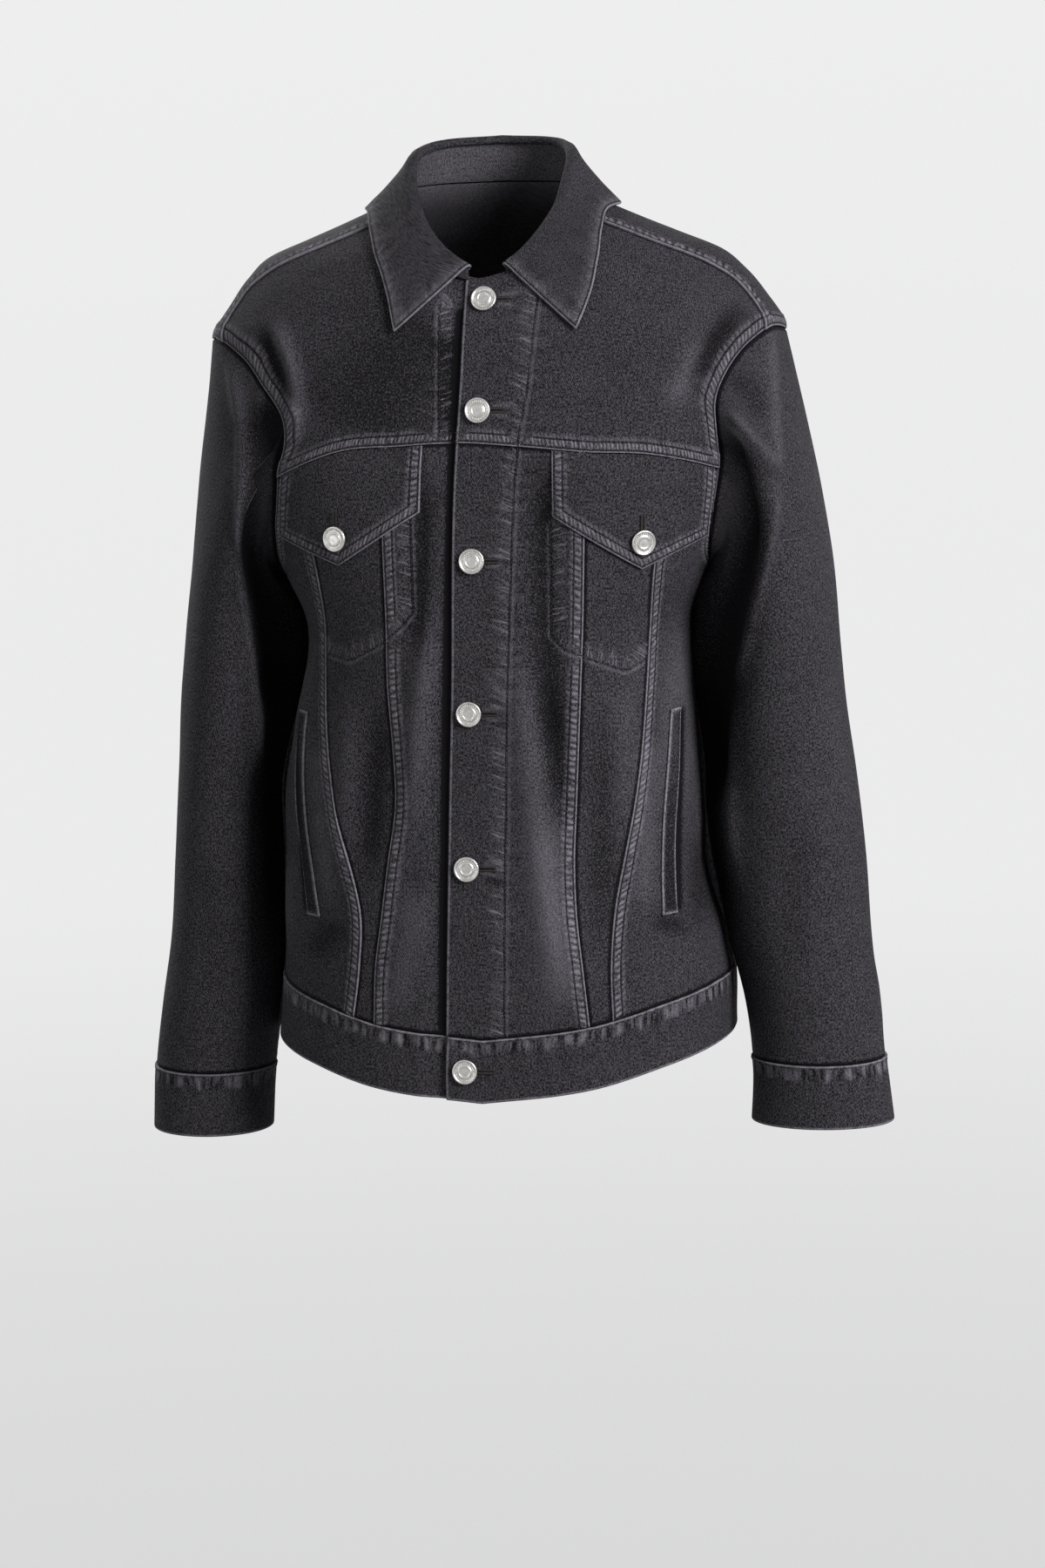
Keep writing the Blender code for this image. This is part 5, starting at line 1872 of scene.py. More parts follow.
@dataclass(frozen=True)
class Front:
    """One front: its yoke, three lower panels, pointed flap and slanted welt."""

    side: Side
    neck_share: float = 5 / 12
    arm_share: float = 3 / 11
    fine: float = 0.0015
    step: float = 0.0023
    flap_top: tuple[float, float] = (0.0, 0.0)
    flap_points: tuple[tuple[float, float], ...] = ()
    welt_top: tuple[float, float] = (0.0, 0.0)
    welt_bottom: tuple[float, float] = (0.0, 0.0)
    welt_z: tuple[float, float] = (-0.367, -0.516)
    pocket: tuple[tuple[float, float], ...] = ()
    facing: tuple[tuple[float, float], ...] = ()

    def name(self, part: str) -> str:
        """The node's name on this side."""
        return f"{part}_{self.side.label}"

    @property
    def front_seam(self) -> Seam:
        """How the edge at the closure is sewn."""
        return FRONT_EDGE if self.side is Side.LEFT else PLAIN

    def build(self, shop: Workshop) -> None:
        """Make all the pieces.

        Args:
            shop: The workshop that the pieces are made in.
        """
        self.yoke(shop)
        self.centre(shop)
        self.middle(shop)
        self.outer(shop)
        self.flap(shop)
        self.welt(shop)

    def yoke(self, shop: Workshop) -> None:
        """The yoke, from the neckline and shoulder to the chest seam.

        Args:
            shop: The workshop that the pieces are made in.
        """
        side = self.side
        neck_start = float(BODY.angle_across(BODY.front_edge(side, -0.054), -0.054))
        top_z = float(BODY.neckline(neck_start)[1])
        edge_z = float(BODY.chest(side, BODY.front_edge(side, -0.167))[1])
        corner = BODY.point(*BODY.armhole(side, CHEST_TURN))[0]
        neck = follow(BODY.neckline, neck_start, side.value * SHOULDER_NECK_ANGLE)
        high = joined(self.neck_share, neck, lambda part: BODY.shoulder(side, part))
        near = follow(lambda z: stack(BODY.front_edge(side, z), z), top_z, edge_z)
        far = follow(lambda turn: BODY.at(BODY.armhole(side, turn))[..., [0, 2]], SHOULDER_TURN, CHEST_TURN)
        start = BODY.front_edge(side, edge_z)
        bottom = follow(lambda x: stack(x, self.chest(x)[..., 1]), start, corner)
        patch = Patch(self.name("front_yoke"), BODY.point,
                      (near, far, lambda part: BODY.at(high(part))[..., [0, 2]], bottom),
                      (self.front_seam, ARMHOLE, (PLAIN, TUCKED), CHEST), self.step, ((self.neck_share,), ()),
                      convert=flat_places)
        patch.sew_edges()
        self.finish(shop, patch, "back_yoke front_centre_{0} sleeve_top_{0}")

    def finish(self, shop: Workshop, patch: Patch, rests_on: str, facing: bool = True) -> None:
        """Lay a panel's creases and front stitching, and make it.

        Args:
            shop: The workshop that the pieces are made in.
            patch: The panel.
            rests_on: The piece that it lies on.
            facing: Whether the facing's stitching runs down it.
        """
        patch.crease(FRONT_CREASES[self.side])
        if self.side is Side.LEFT:
            patch.crease([fold for button in BUTTONS for fold in button.pulls()])
        else:
            patch.lift = -BODY.under_lap(patch.points)
        if facing:
            patch.stitch_path(self.facing, FACING_GATHER, FACING_REACH, -self.side.value)
        shop.cloth(patch, CLOTH, rests_on.format(self.side.label), "front_" + self.side.label)

    def chest(self, x: Array) -> Array:
        """Places of the chest seam on this side."""
        return BODY.chest(self.side, x)

    def strip(self, name: str, near_x: Callable[[Array], Array], far_x: Callable[[Array], Array],
              seams: tuple[Seam, Seam], fine: float | None = None) -> Patch:
        """A panel between two long seams, from the chest seam to the waistband.

        Args:
            name: The name of the panel.
            near_x: The near seam's distance across at each height.
            far_x: The far seam's distance across at each height.
            seams: How its two long edges are sewn.
            fine: The finest spacing of its grid, if not the usual one.

        Returns:
            The panel.
        """
        near, far = BODY.down_seam(near_x, self.side), BODY.down_seam(far_x, self.side)
        top = follow(self.chest, near_x(near(0.0)[1]), far_x(far(0.0)[1]))
        bottom = follow(BODY.waist, near(1.0)[0], far(1.0)[0])
        patch = Patch(self.name(name), BODY.point, (near, far, top, bottom), (*seams, TUCKED, TUCKED),
                      self.step, fine=fine)
        patch.sew_edges()
        return patch

    def seam(self, name: str) -> Callable[[Array], Array]:
        """How far across this side's inner or outer long seam lies, read by height."""
        return lambda z: BODY.long_seam(self.side, name, z)

    def centre(self, shop: Workshop) -> None:
        """The panel that carries the closure.

        Args:
            shop: The workshop that the pieces are made in.
        """
        patch = self.strip("front_centre", lambda z: BODY.front_edge(self.side, z), self.seam("inner"),
                           (self.front_seam, FELLED), self.fine)
        patch.stitch_path(self.pocket, POCKET_GATHER, POCKET_REACH, self.side.value, seed=3)
        self.finish(shop, patch, "front_yoke_{0} front_middle_{0} waistband")

    def middle(self, shop: Workshop) -> None:
        """The narrow panel that is tucked under both its neighbours."""
        patch = self.strip("front_middle", self.seam("inner"), self.seam("outer"), (TUCKED, TUCKED))
        patch.stitch_path(self.pocket, POCKET_GATHER, POCKET_REACH, self.side.value, seed=3)
        self.finish(shop, patch, "front_yoke_{0} front_centre_{0} front_side_{0} waistband", False)

    def outer(self, shop: Workshop) -> None:
        """The side panel, from the outer long seam to the armhole and side seam.

        Args:
            shop: The workshop that the pieces are made in.
        """
        near = BODY.down_seam(self.seam("outer"), self.side)
        far = BODY.arm_to_waist(self.side, CHEST_TURN, self.arm_share)
        top = follow(self.chest, BODY.point(*near(0.0))[0], BODY.point(*far(np.array(0.0)))[0])
        bottom = follow(BODY.waist, near(1.0)[0], far(np.array(1.0))[0])
        patch = Patch(self.name("front_side"), BODY.point, (near, far, top, bottom),
                      (FELLED, (ARMHOLE, TUCKED), TUCKED, TUCKED), self.step, ((), (self.arm_share,)))
        patch.sew_edges()
        nodes = "front_yoke_{0} front_middle_{0} back_side_{0} sleeve_top_{0} waistband"
        self.finish(shop, patch, nodes, False)

    def flap(self, shop: Workshop) -> None:
        """The pocket flap, hung from the chest seam and coming to a point over its button.

        Args:
            shop: The workshop that the pieces are made in.
        """
        inner, point, outer = self.flap_points
        top = follow(lambda x: stack(x, self.chest(x)[..., 1] - 3 * HALF_GAP), *self.flap_top)
        bottom = joined(0.5, straight(inner, point), straight(point, outer))
        sides = (straight(*ends) for ends in zip(top(ENDS), bottom(ENDS)))
        patch = Patch(self.name("flap"), BODY.point, (*sides, top, bottom),
                      (FLAP_EDGE, FLAP_EDGE, PLAIN, (FLAP_EDGE, FLAP_EDGE)), self.step, ((0.5,), ()),
                      convert=flat_places)
        patch.sew_edges(Border.NEAR, Border.FAR, Border.BOTTOM)
        down, _ = patch.border(Border.TOP)
        patch.crease(FRONT_CREASES[self.side])
        patch.lift = FLAP_TOP_LIFT + (PATCH_LIFT - FLAP_EASE) * ease(0.0, 0.016, down)
        nodes = "front_yoke_{0} front_centre_{0} front_middle_{0} front_side_{0}"
        shop.cloth(patch, FLAP, nodes.format(self.side.label), "flaps")

    def welt(self, shop: Workshop) -> None:
        """The slanted welt of the hand pocket.

        Args:
            shop: The workshop that the pieces are made in.
        """
        tops, bottoms = ([(angle, z) for angle in angles]
                         for angles, z in zip((self.welt_top, self.welt_bottom), self.welt_z))
        patch = Patch(self.name("welt"), BODY.point,
                      (straight(tops[0], bottoms[0]), straight(tops[1], bottoms[1]), straight(*tops),
                       straight(*bottoms)), (WELT_EDGE, WELT_EDGE, PLAIN, PLAIN), self.step, fine=WELT_STEP)
        for border in Border:
            patch.sew(border, WELT_EDGE)
        patch.wear -= 0.45 * ease(0.0026, 0.0034, patch.seam[..., 0])
        patch.crease(FRONT_CREASES[self.side])
        patch.lift = WELT_LIFT
        shop.cloth(patch, CLOTH, "front_side_{0} front_middle_{0}".format(self.side.label), "flaps")


@dataclass(frozen=True)
class Back:
    """The back: a yoke, a centre panel and two side panels."""

    arm_share: float = 0.3
    side_share: float = 4 / 12
    step: float = 0.0030

    def build(self, shop: Workshop) -> None:
        """Make all the pieces.

        Args:
            shop: The workshop that the pieces are made in.
        """
        self.yoke(shop)
        self.centre(shop)
        for side in Side:
            self.outer(shop, side)

    def finish(self, shop: Workshop, patch: Patch, rests_on: str) -> None:
        """Sew a panel, lay its creases and make it.

        Args:
            shop: The workshop that the pieces are made in.
            patch: The panel.
            rests_on: The piece that it lies on.
        """
        patch.sew_edges()
        for side in Side:
            patch.crease(BACK_CREASES[side])
        shop.cloth(patch, CLOTH, rests_on, "back")

    def yoke(self, shop: Workshop) -> None:
        """The yoke, from one forward shoulder seam round the neck to the other.

        Args:
            shop: The workshop that the pieces are made in.
        """
        end_angle = BODY.armhole(Side.LEFT, BACK_YOKE_TURN)[0]

        def shoulder(side: Side) -> Edge:
            """The forward shoulder seam."""
            return lambda part: full_turn(BODY.shoulder(side, part))

        def half(side: Side) -> Edge:
            """The lower edge on one side, from the shoulder seam round the arm to the centre back.

            Args:
                side: Which side of the jacket, the wearer's left or right.

            Returns:
                The edge, from the shoulder seam at part 0.
            """
            arm = follow(lambda turn: BODY.armhole(side, turn), SHOULDER_TURN, BACK_YOKE_TURN - 360)
            low = follow(lambda angle: BODY.back_yoke(angle) * (side.value, 1), end_angle, 180)
            whole = joined(2 * self.arm_share, arm, low)
            return lambda part: full_turn(whole(part))

        bottom = joined(0.5, half(Side.LEFT), lambda part: half(Side.RIGHT)(1 - part))
        top = follow(BODY.neckline, SHOULDER_NECK_ANGLE, 360 - SHOULDER_NECK_ANGLE)
        patch = Patch("back_yoke", BODY.point, (shoulder(Side.LEFT), shoulder(Side.RIGHT), top, bottom),
                      (SHOULDER, SHOULDER, PLAIN, (ARMHOLE, YOKE, ARMHOLE)), self.step,
                      ((self.arm_share, 1 - self.arm_share), ()))
        self.finish(shop, patch, "front_yoke_left front_yoke_right back_centre")

    def centre(self, shop: Workshop) -> None:
        """The centre panel, lapped over the side panels.

        Args:
            shop: The workshop that the pieces are made in.
        """
        near, far = BODY.back_seam(Side.LEFT), BODY.back_seam(Side.RIGHT)
        top = follow(BODY.back_yoke, near(0.0)[0], far(0.0)[0])
        bottom = follow(BODY.waist, near(1.0)[0], far(1.0)[0])
        patch = Patch("back_centre", BODY.point, (near, far, top, bottom), (FELLED, FELLED, TUCKED, TUCKED),
                      self.step)
        self.finish(shop, patch, "back_yoke back_side_left back_side_right waistband")

    def outer(self, shop: Workshop, side: Side) -> None:
        """One side panel, from the long back seam to the armhole and side seam.

        Args:
            shop: The workshop that the pieces are made in.
            side: Which side of the jacket, the wearer's left or right.
        """
        seam, start = BODY.back_seam(side), (0 if side is Side.LEFT else 360, 0)

        def near(part: Array) -> Array:
            """Places of the long back seam, with angles of the side's own sign."""
            return seam(part) - start

        far = BODY.arm_to_waist(side, BACK_YOKE_TURN, self.side_share)
        first, last = near(0.0)[0], far(np.array(0.0))[0]
        top = follow(lambda angle: stack(angle, BODY.back_yoke(np.abs(angle))[..., 1]), first, last)
        bottom = follow(BODY.waist, near(1.0)[0], far(np.array(1.0))[0])
        patch = Patch(f"back_side_{side.label}", BODY.point, (near, far, top, bottom),
                      (TUCKED, (ARMHOLE, FELLED), TUCKED, TUCKED), self.step, ((), (self.side_share,)))
        nodes = "back_yoke back_centre front_side_{0} sleeve_under_{0} waistband"
        self.finish(shop, patch, nodes.format(side.label))


@dataclass(frozen=True)
class Sleeve:
    """One sleeve of two pieces, and its cuff."""

    side: Side
    sections: Table
    end: float
    flare: float
    reach_turn: float
    reach_spread: float = 42
    start: float = 0.0012
    cap: float = 0.4
    cap_z: float = -0.300
    step: float = 0.0025

    def ring(self, turn: Array, z: Array) -> Array:
        """Points of the sleeve's section at a height; turn 0 is outward and 90 is forward.

        Args:
            turn: Turns round the arm, in degrees.
            z: Heights of the section.

        Returns:
            The points.
        """
        swing = np.radians(turn)
        away = (turn - self.reach_turn + 180) % 360 - 180
        reach = self.sections.at("reach", z) * np.exp(-((away / self.reach_spread) ** 2))
        across = self.sections.at("centre_x", z) + self.sections.at("half_width", z) * np.cos(swing) - reach
        along = self.sections.at("centre_y", z) - self.sections.at("half_depth", z) * np.sin(swing)
        return stack(self.side.value * across, along, z)

    def point(self, turn: Array, part: Array) -> Array:
        """Points of the sleeve, from the armhole at part 0 to the cuff at part 1.

        Args:
            turn: Turns round the arm, in degrees.
            part: Shares of the way down the sleeve.

        Returns:
            The points.
        """
        turn, part = np.broadcast_arrays(np.asarray(turn, float), np.asarray(part, float))
        share = np.clip((part - self.cap) / (1 - self.cap), -0.2, 1.2)
        lower = self.ring(turn, self.cap_z + (self.end + 0.0004 - self.cap_z) * share)
        place = BODY.armhole(self.side, turn)
        normal = body_normal(place[..., 0], place[..., 1])
        low = 0.5 - 0.5 * np.cos(np.radians(turn))
        away = stack(self.side.value * (self.flare + (1 - self.flare) * low), 0 * low, -(1 - 0.55 * low))
        leave = unit(away + 0.15 * np.minimum(2 * low, 1)[..., None] * normal)
        start = BODY.at(place) + leave * self.start
        end = self.ring(turn, np.full_like(turn, self.cap_z))
        arrive = unit(self.ring(turn, np.full_like(turn, self.cap_z - 0.02)) - end)
        reach = np.linalg.norm(end - start, axis=-1, keepdims=True)
        t = (part / self.cap)[..., None]
        upper = hermite(t, start, end, reach * leave, reach * arrive)
        return np.where((part >= self.cap)[..., None], lower, upper)

    def cuff_point(self, turn: Array, part: Array) -> Array:
        """Points of the cuff's outer face.

        Args:
            turn: Turns round the arm, in degrees.
            part: Shares of the way down the cuff.

        Returns:
            The points.
        """
        z = self.end - CUFF_HEIGHT * np.asarray(part, float)
        place = self.ring(turn, z)
        centre = stack(self.side.value * self.sections.at("centre_x", z), self.sections.at("centre_y", z), z)
        return place + unit(place - centre) * CUFF_PROUD

    def beneath(self, places: Array) -> tuple[Array, Array]:
        """The direction and facing of the sleeve's cloth where it runs on beneath the armhole's edge.

        Args:
            places: Places on the sleeve's edge: turns and shares.

        Returns:
            The direction and the facing at each place.
        """
        turn = places[..., 0]
        ahead, behind, here = (BODY.armhole(self.side, turn + step) for step in (1, -1, 0))
        along = BODY.at(ahead) - BODY.at(behind)
        facing = body_normal(here[..., 0], here[..., 1])
        away = unit(np.cross(along, facing))
        leave = self.point(turn, np.full_like(turn, 0.02)) - self.point(turn, np.zeros_like(turn))
        return away * -np.sign((away * leave).sum(-1, keepdims=True)), facing

    def piece(self, name: str, first: float, last: float, seams: tuple[Seam, Seam]) -> Patch:
        """One piece of the sleeve between two turns.

        Args:
            name: The name of the piece.
            first: The turn of its near edge.
            last: The turn of its far edge.
            seams: How its two long edges are sewn.

        Returns:
            The piece.
        """
        patch = Patch(f"{name}_{self.side.label}", self.point, rectangle(first, last),
                      (*seams, TUCKED, TUCKED), self.step, outward=self.side.value, probe=(1.0, 0.004),
                      under=self.beneath)
        patch.chart = stack(np.radians(patch.places[..., 0] - 90) * ARM_RADIUS, patch.points[..., 2])
        patch.sew_edges()
        patch.crease(SLEEVE_CREASES[self.side])
        return patch

    def build(self, shop: Workshop) -> None:
        """Make the sleeve's two pieces and the cuff.

        Args:
            shop: The workshop that the pieces are made in.
        """
        label = self.side.label
        top = self.piece("sleeve_top", BACK_SLEEVE_TURN - 360, UNDERARM_TURN, (FELLED, TUCKED))
        nodes = "front_yoke_{0} back_yoke front_side_{0} cuff_{0} sleeve_under_{0}"
        shop.cloth(top, CLOTH, nodes.format(label), "sleeves")
        under = self.piece("sleeve_under", UNDERARM_TURN, BACK_SLEEVE_TURN, (FELLED, TUCKED))
        shop.cloth(under, CLOTH, f"sleeve_top_{label} back_side_{label} cuff_{label}", "sleeves")
        cuff = Patch(f"cuff_{label}", self.cuff_point, rectangle(BACK_SLEEVE_TURN - 360, BACK_SLEEVE_TURN),
                     (PLAIN, PLAIN, BAND_TOP, HEM), self.step, outward=self.side.value, probe=(1.0, 0.004))
        cuff.sew_edges(Border.TOP, Border.BOTTOM)
        shop.cloth(cuff, BAND, f"sleeve_top_{label} sleeve_under_{label}", "bands", ring=True)


@dataclass(frozen=True)
class Waistband:
    """One strip round the hem, whose over end laps its under end at the front."""

    middle_z: float = -0.625
    ramp: float = 9.0
    step: float = 0.0027

    def build(self, shop: Workshop) -> None:
        """Make the band.

        Args:
            shop: The workshop that the pieces are made in.
        """
        start = float(BODY.angle_across(BODY.front_edge(Side.LEFT, self.middle_z), self.middle_z))
        end = 360 + float(BODY.angle_across(BODY.front_edge(Side.RIGHT, self.middle_z), self.middle_z))
        turn = 360 + start
        sink = BAND + 0.0010

        def face(angle: Array, part: Array) -> Array:
            """Points of the band's outer face, from its seam at part 0 to the hem at part 1.

            Args:
                angle: Angles round the form.
                part: Shares of the way down the band.

            Returns:
                The points.
            """
            z = BODY.waist(angle)[..., 1] - 0.0004 - BAND_HEIGHT * np.asarray(part, float)
            place = BODY.point(angle, z)
            away = unit(place * (1, 1, 0))
            return place + away * (BAND_PROUD - sink * ease(turn - self.ramp, turn - 1, angle))[..., None]

        patch = Patch("waistband", face, rectangle(start, end), (FRONT_EDGE, PLAIN, BAND_TOP, HEM), self.step,
                      outward=-1, probe=(0.4, 0.01))
        patch.sew_edges()
        fronts = (f"front_{part}_{side.label} " for part in ("centre", "middle", "side") for side in Side)
        shop.cloth(patch, BAND, "".join(fronts) + "back_centre back_side_left back_side_right", "bands")


class Collar:
    """The stand round the neck and the fall that turns down over it."""

    lines = Table(
        "part fold_right fold_left fold_radius fold_z edge_right edge_left edge_z",
        (
            (0.00, 4, 13, 0.090, -0.045, 29, 33.5, -0.089),
            (0.10, 14, 22, 0.086, -0.036, 35, 41, -0.062),
            (0.22, 29, 35, 0.077, -0.021, 43, 48, -0.040),
            (0.35, 45, 50, 0.069, -0.002, 56, 58, -0.021),
            (0.48, 66, 68, 0.062, 0.018, 74, 73, -0.007),
            (0.60, 90, 90, 0.059, 0.035, 91, 91, -0.004),
            (0.75, 120, 120, 0.058, 0.044, 118, 118, -0.004),
            (1.00, 180, 180, 0.058, 0.048, 180, 180, -0.012),
        ),
    )
    clearance = COLLAR + 0.0009
    stand_clearance = COLLAR + 0.0012
    roll = 0.0020
    curl = 0.0037
    curl_turn = 165
    shoulder_top = 0.012
    stand_gap = 0.0006
    step = 0.0024

    def station(self, part: Array) -> tuple[Array, Array, Array]:
        """The neck, fold and edge points; part runs 0 to 2 from the left end to the right end.

        Args:
            part: Shares of the collar, from 0 to 2.

        Returns:
            The three points at each share.
        """
        part = np.asarray(part, float)
        left = part <= 1
        own = np.where(left, part, 2 - part)
        sign = np.where(left, 1, -1)
        fold_angle = sign * np.where(left, self.lines.at("fold_left", own), self.lines.at("fold_right", own))
        turn = np.radians(fold_angle)
        radius = self.lines.at("fold_radius", own)
        fold = stack(radius * np.sin(turn), -radius * np.cos(turn), self.lines.at("fold_z", own))
        neck = BODY.point(fold_angle, BODY.neckline(fold_angle)[..., 1])
        edge_angle = sign * np.where(left, self.lines.at("edge_left", own), self.lines.at("edge_right", own))
        edge_z = self.lines.at("edge_z", own)
        edge = BODY.point(edge_angle, edge_z)
        return neck, fold, edge + body_normal(edge_angle, edge_z) * (self.clearance + 0.0005)

    def stand_point(self, part: Array, share: Array) -> Array:
        """Points of the stand, from the neckline up to the fold."""
        neck, fold, _ = self.station(part)
        start = neck + unit(fold - neck) * self.stand_gap
        return start + (fold + np.array([0, 0, 0.0005]) - start) * np.asarray(share, float)[..., None]

    def fall_point(self, part: Array, share: Array) -> Array:
        """Points of the fall; below share 0 it curls over the stand, and share 1 is its edge.

        Args:
            part: Shares along the collar, from 0 to 2.
            share: Shares of the way out over the fall.

        Returns:
            The points.
        """
        part, share = np.broadcast_arrays(np.asarray(part, float), np.asarray(share, float))
        lower = self.fall_side(part, np.maximum(share, 0.0))
        step, none = 0.01, np.zeros_like(part)
        down = unit(self.fall_side(part, none + step) - self.fall_side(part, none))
        shifted = self.fall_side(part + step, none) - self.fall_side(part - step, none)
        out = unit(np.cross(down, shifted))
        swing = np.radians(self.curl_turn * np.maximum(-share, 0.0))[..., None]
        curled = lower - out * self.curl + self.curl * (np.cos(swing) * out - np.sin(swing) * down)
        return np.where((share < 0)[..., None], curled, lower)

    def fall_side(self, part: Array, share: Array) -> Array:
        """Points of the fall's outer side.

        Args:
            part: Shares along the collar, from 0 to 2.
            share: Shares of the way out over the fall.

        Returns:
            The points.
        """
        part = np.clip(part, 0, 2)
        neck, fold, edge = self.station(part)
        point = fold + (edge - fold) * share[..., None]
        point[..., 2] += self.roll * (1 - share) ** 2
        slope = unit(neck - fold)
        away = unit(fold * (1, 1, 0))
        away = unit(away - (away * slope).sum(-1, keepdims=True) * slope)
        short = soft_above(self.stand_clearance - ((point - fold) * away).sum(-1))
        beside = ease(0.004, -0.004, ((point - neck) * slope).sum(-1))
        beside = beside * ease(0.003, -0.001, point[..., 2] - fold[..., 2])
        point = point + away * (short * beside)[..., None]
        centre = BODY.rings.at("shift", point[..., 2])
        angle = np.degrees(np.arctan2(point[..., 0] - centre, -point[..., 1]))
        z = np.minimum(point[..., 2], 0.018)
        normal = body_normal(angle, z)
        short = soft_above(self.clearance - ((point - BODY.point(angle, z)) * normal).sum(-1))
        near = ease(self.shoulder_top + 0.004, self.shoulder_top - 0.004, point[..., 2])
        return point + normal * (short * near)[..., None]

    def build(self, shop: Workshop) -> None:
        """Make the stand and the fall.

        Args:
            shop: The workshop that the pieces are made in.
        """
        yokes = "front_yoke_left front_yoke_right back_yoke"
        stand = Patch("collar_stand", self.stand_point, rectangle(0, 2), (PLAIN,) * 4, self.step,
                      probe=(0.01, 0.05))
        stand.sew_edges()
        shop.cloth(stand, CLOTH, yokes + " collar_fall", "collar")
        fall = Patch("collar_fall", self.fall_point, rectangle(0, 2, -1),
                     (COLLAR_EDGE, COLLAR_EDGE, PLAIN, COLLAR_EDGE), self.step, ((), (0.5,)),
                     outward=-1, probe=(0.01, 0.02))
        fall.sew_edges()
        shop.cloth(fall, COLLAR, "collar_stand " + yokes, "collar")


def body_normal(angle: Array, z: Array) -> Array:
    """The outward direction of the body form."""
    round_body = BODY.point(angle + 0.5, z) - BODY.point(angle - 0.5, z)
    return unit(np.cross(round_body, BODY.point(angle, z + 0.001) - BODY.point(angle, z - 0.001)))


def soft_above(value: Array, blend: float = 0.0015) -> Array:
    """The value where it is above 0, easing in to 0 below it."""
    return (value + np.sqrt(value**2 + blend**2)) / 2


@dataclass(frozen=True)
class Button:
    """A turned shank button with a raised rim and a ring of small beads round a raised centre."""

    name: str
    x: float
    z: float
    lift: float
    hole: tuple[float, float] = (1.0, 0.0)
    hole_start: float = 0.0
    hole_end: float = 0.019
    segments: int = 72
    beads: int = 26
    bead_ring: float = 0.70
    profile: tuple[tuple[float, float], ...] = (
        (0.90, 0.0), (0.97, 0.0003), (1.0, 0.0008), (1.0, 0.0015), (0.985, 0.0020), (0.95, 0.0024),
        (0.905, 0.00255), (0.86, 0.0024), (0.83, 0.0020), (0.80, 0.0018), (0.62, 0.00175), (0.575, 0.0018),
        (0.555, 0.0020), (0.535, 0.00235), (0.49, 0.0025), (0.44, 0.00245), (0.41, 0.0022), (0.38, 0.0021),
        (0.22, 0.00225), (0.08, 0.0023),
    )

    def pulls(self) -> list[Crease]:
        """The short folds where a closure button drags at its hole, and the shade of the hole itself.

        Returns:
            The folds, none for a button of a flap.
        """
        if self.hole[1]:
            return []
        slit = Crease((self.x + 0.0095, self.z), (self.x + 0.014, self.z), (self.x + self.hole_end, self.z),
                      0.0011, -0.0005, 0.10, 9.0)
        return [slit] + [
            Crease((self.x + 0.008, self.z + 0.0024 * sign), (self.x + 0.016, self.z + 0.0032 * sign),
                   (self.x + 0.026 + 0.003 * sign, self.z + 0.0050 * sign), 0.0013, 0.0007, 0.35, 3.5)
            for sign in (1, -1)
        ]

    def frame(self) -> tuple[Array, Array, Array, Array]:
        """The button's base point and its directions right, up and out.

        Returns:
            The point and the three unit directions.
        """
        angle = BODY.angle_across(self.x, self.z)
        out = body_normal(angle, np.array(self.z))
        right = unit(np.cross(np.array([0, 0, 1.0]), out))
        return BODY.point(angle, self.z) + out * self.lift, right, np.cross(out, right), out

    def build(self, shop: Workshop) -> None:
        """Make the button and its buttonhole.

        Args:
            shop: The workshop that the pieces are made in.
        """
        base, right, up, out = self.frame()
        swing = np.linspace(0, 2 * math.pi, self.segments, endpoint=False)
        spokes = np.cos(swing)[:, None] * right + np.sin(swing)[:, None] * up
        rings = [base + spokes * share * BUTTON_RADIUS + out * height for share, height in self.profile]
        verts = np.concatenate([[base], *rings, [base + out * self.profile[-1][1]]])
        faces, last = tube(len(rings), self.segments, 1), len(verts) - 1
        for k in range(self.segments):
            after = (k + 1) % self.segments
            faces += [(0, 1 + after, 1 + k), (last - self.segments + k, last - self.segments + after, last)]
        piece = new_object("metal_" + self.name, verts, [], faces)
        self.add_beads(piece, base + out * BEAD_HEIGHT, right, up, shop.finishes.nickel)
        if volume(piece.data) < 0:
            piece.data.flip_normals()
        piece.data.shade_smooth()
        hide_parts(self.name)
        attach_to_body(piece, "root")
        self.buttonhole(shop, base, right, up, out)
        log.info("%s: %d faces", piece.name, len(piece.data.polygons))

    def add_beads(self, piece: bpy.types.Object, centre: Array, right: Array, up: Array,
                  metal: bpy.types.Material) -> None:
        """Put a ring of beads in the button's groove.

        Args:
            piece: The button's object.
            centre: The middle of the groove.
            right: The direction to the right.
            up: The direction upwards.
            metal: The material.
        """
        tree = Geometry("bead_ring", {"Count": self.beads, "Radius": self.bead_ring * BUTTON_RADIUS,
                                      "Bead": BEAD_RADIUS, "Material": metal})
        entry = tree.entry.outputs
        circle = tree.node("GeometryNodeMeshCircle", {0: entry["Count"], 1: entry["Radius"]})
        turn = Matrix((right, up, np.cross(right, up))).transposed().to_euler()
        placed = tree.node("GeometryNodeTransform", {0: circle.outputs[0], "Translation": tuple(centre),
                                                     "Rotation": tuple(turn)})
        bead = tree.node("GeometryNodeMeshUVSphere", {0: 8, 1: 6, 2: entry["Bead"]})
        sockets = {"Points": placed.outputs[0], "Instance": bead.outputs[0]}
        beads = tree.node("GeometryNodeInstanceOnPoints", sockets)
        both = tree.node("GeometryNodeJoinGeometry")
        for geometry in (entry[0], beads.outputs[0]):
            tree.tree.links.new(geometry, both.inputs[0])
        tree.finish(both.outputs[0])
        tree.apply(piece)

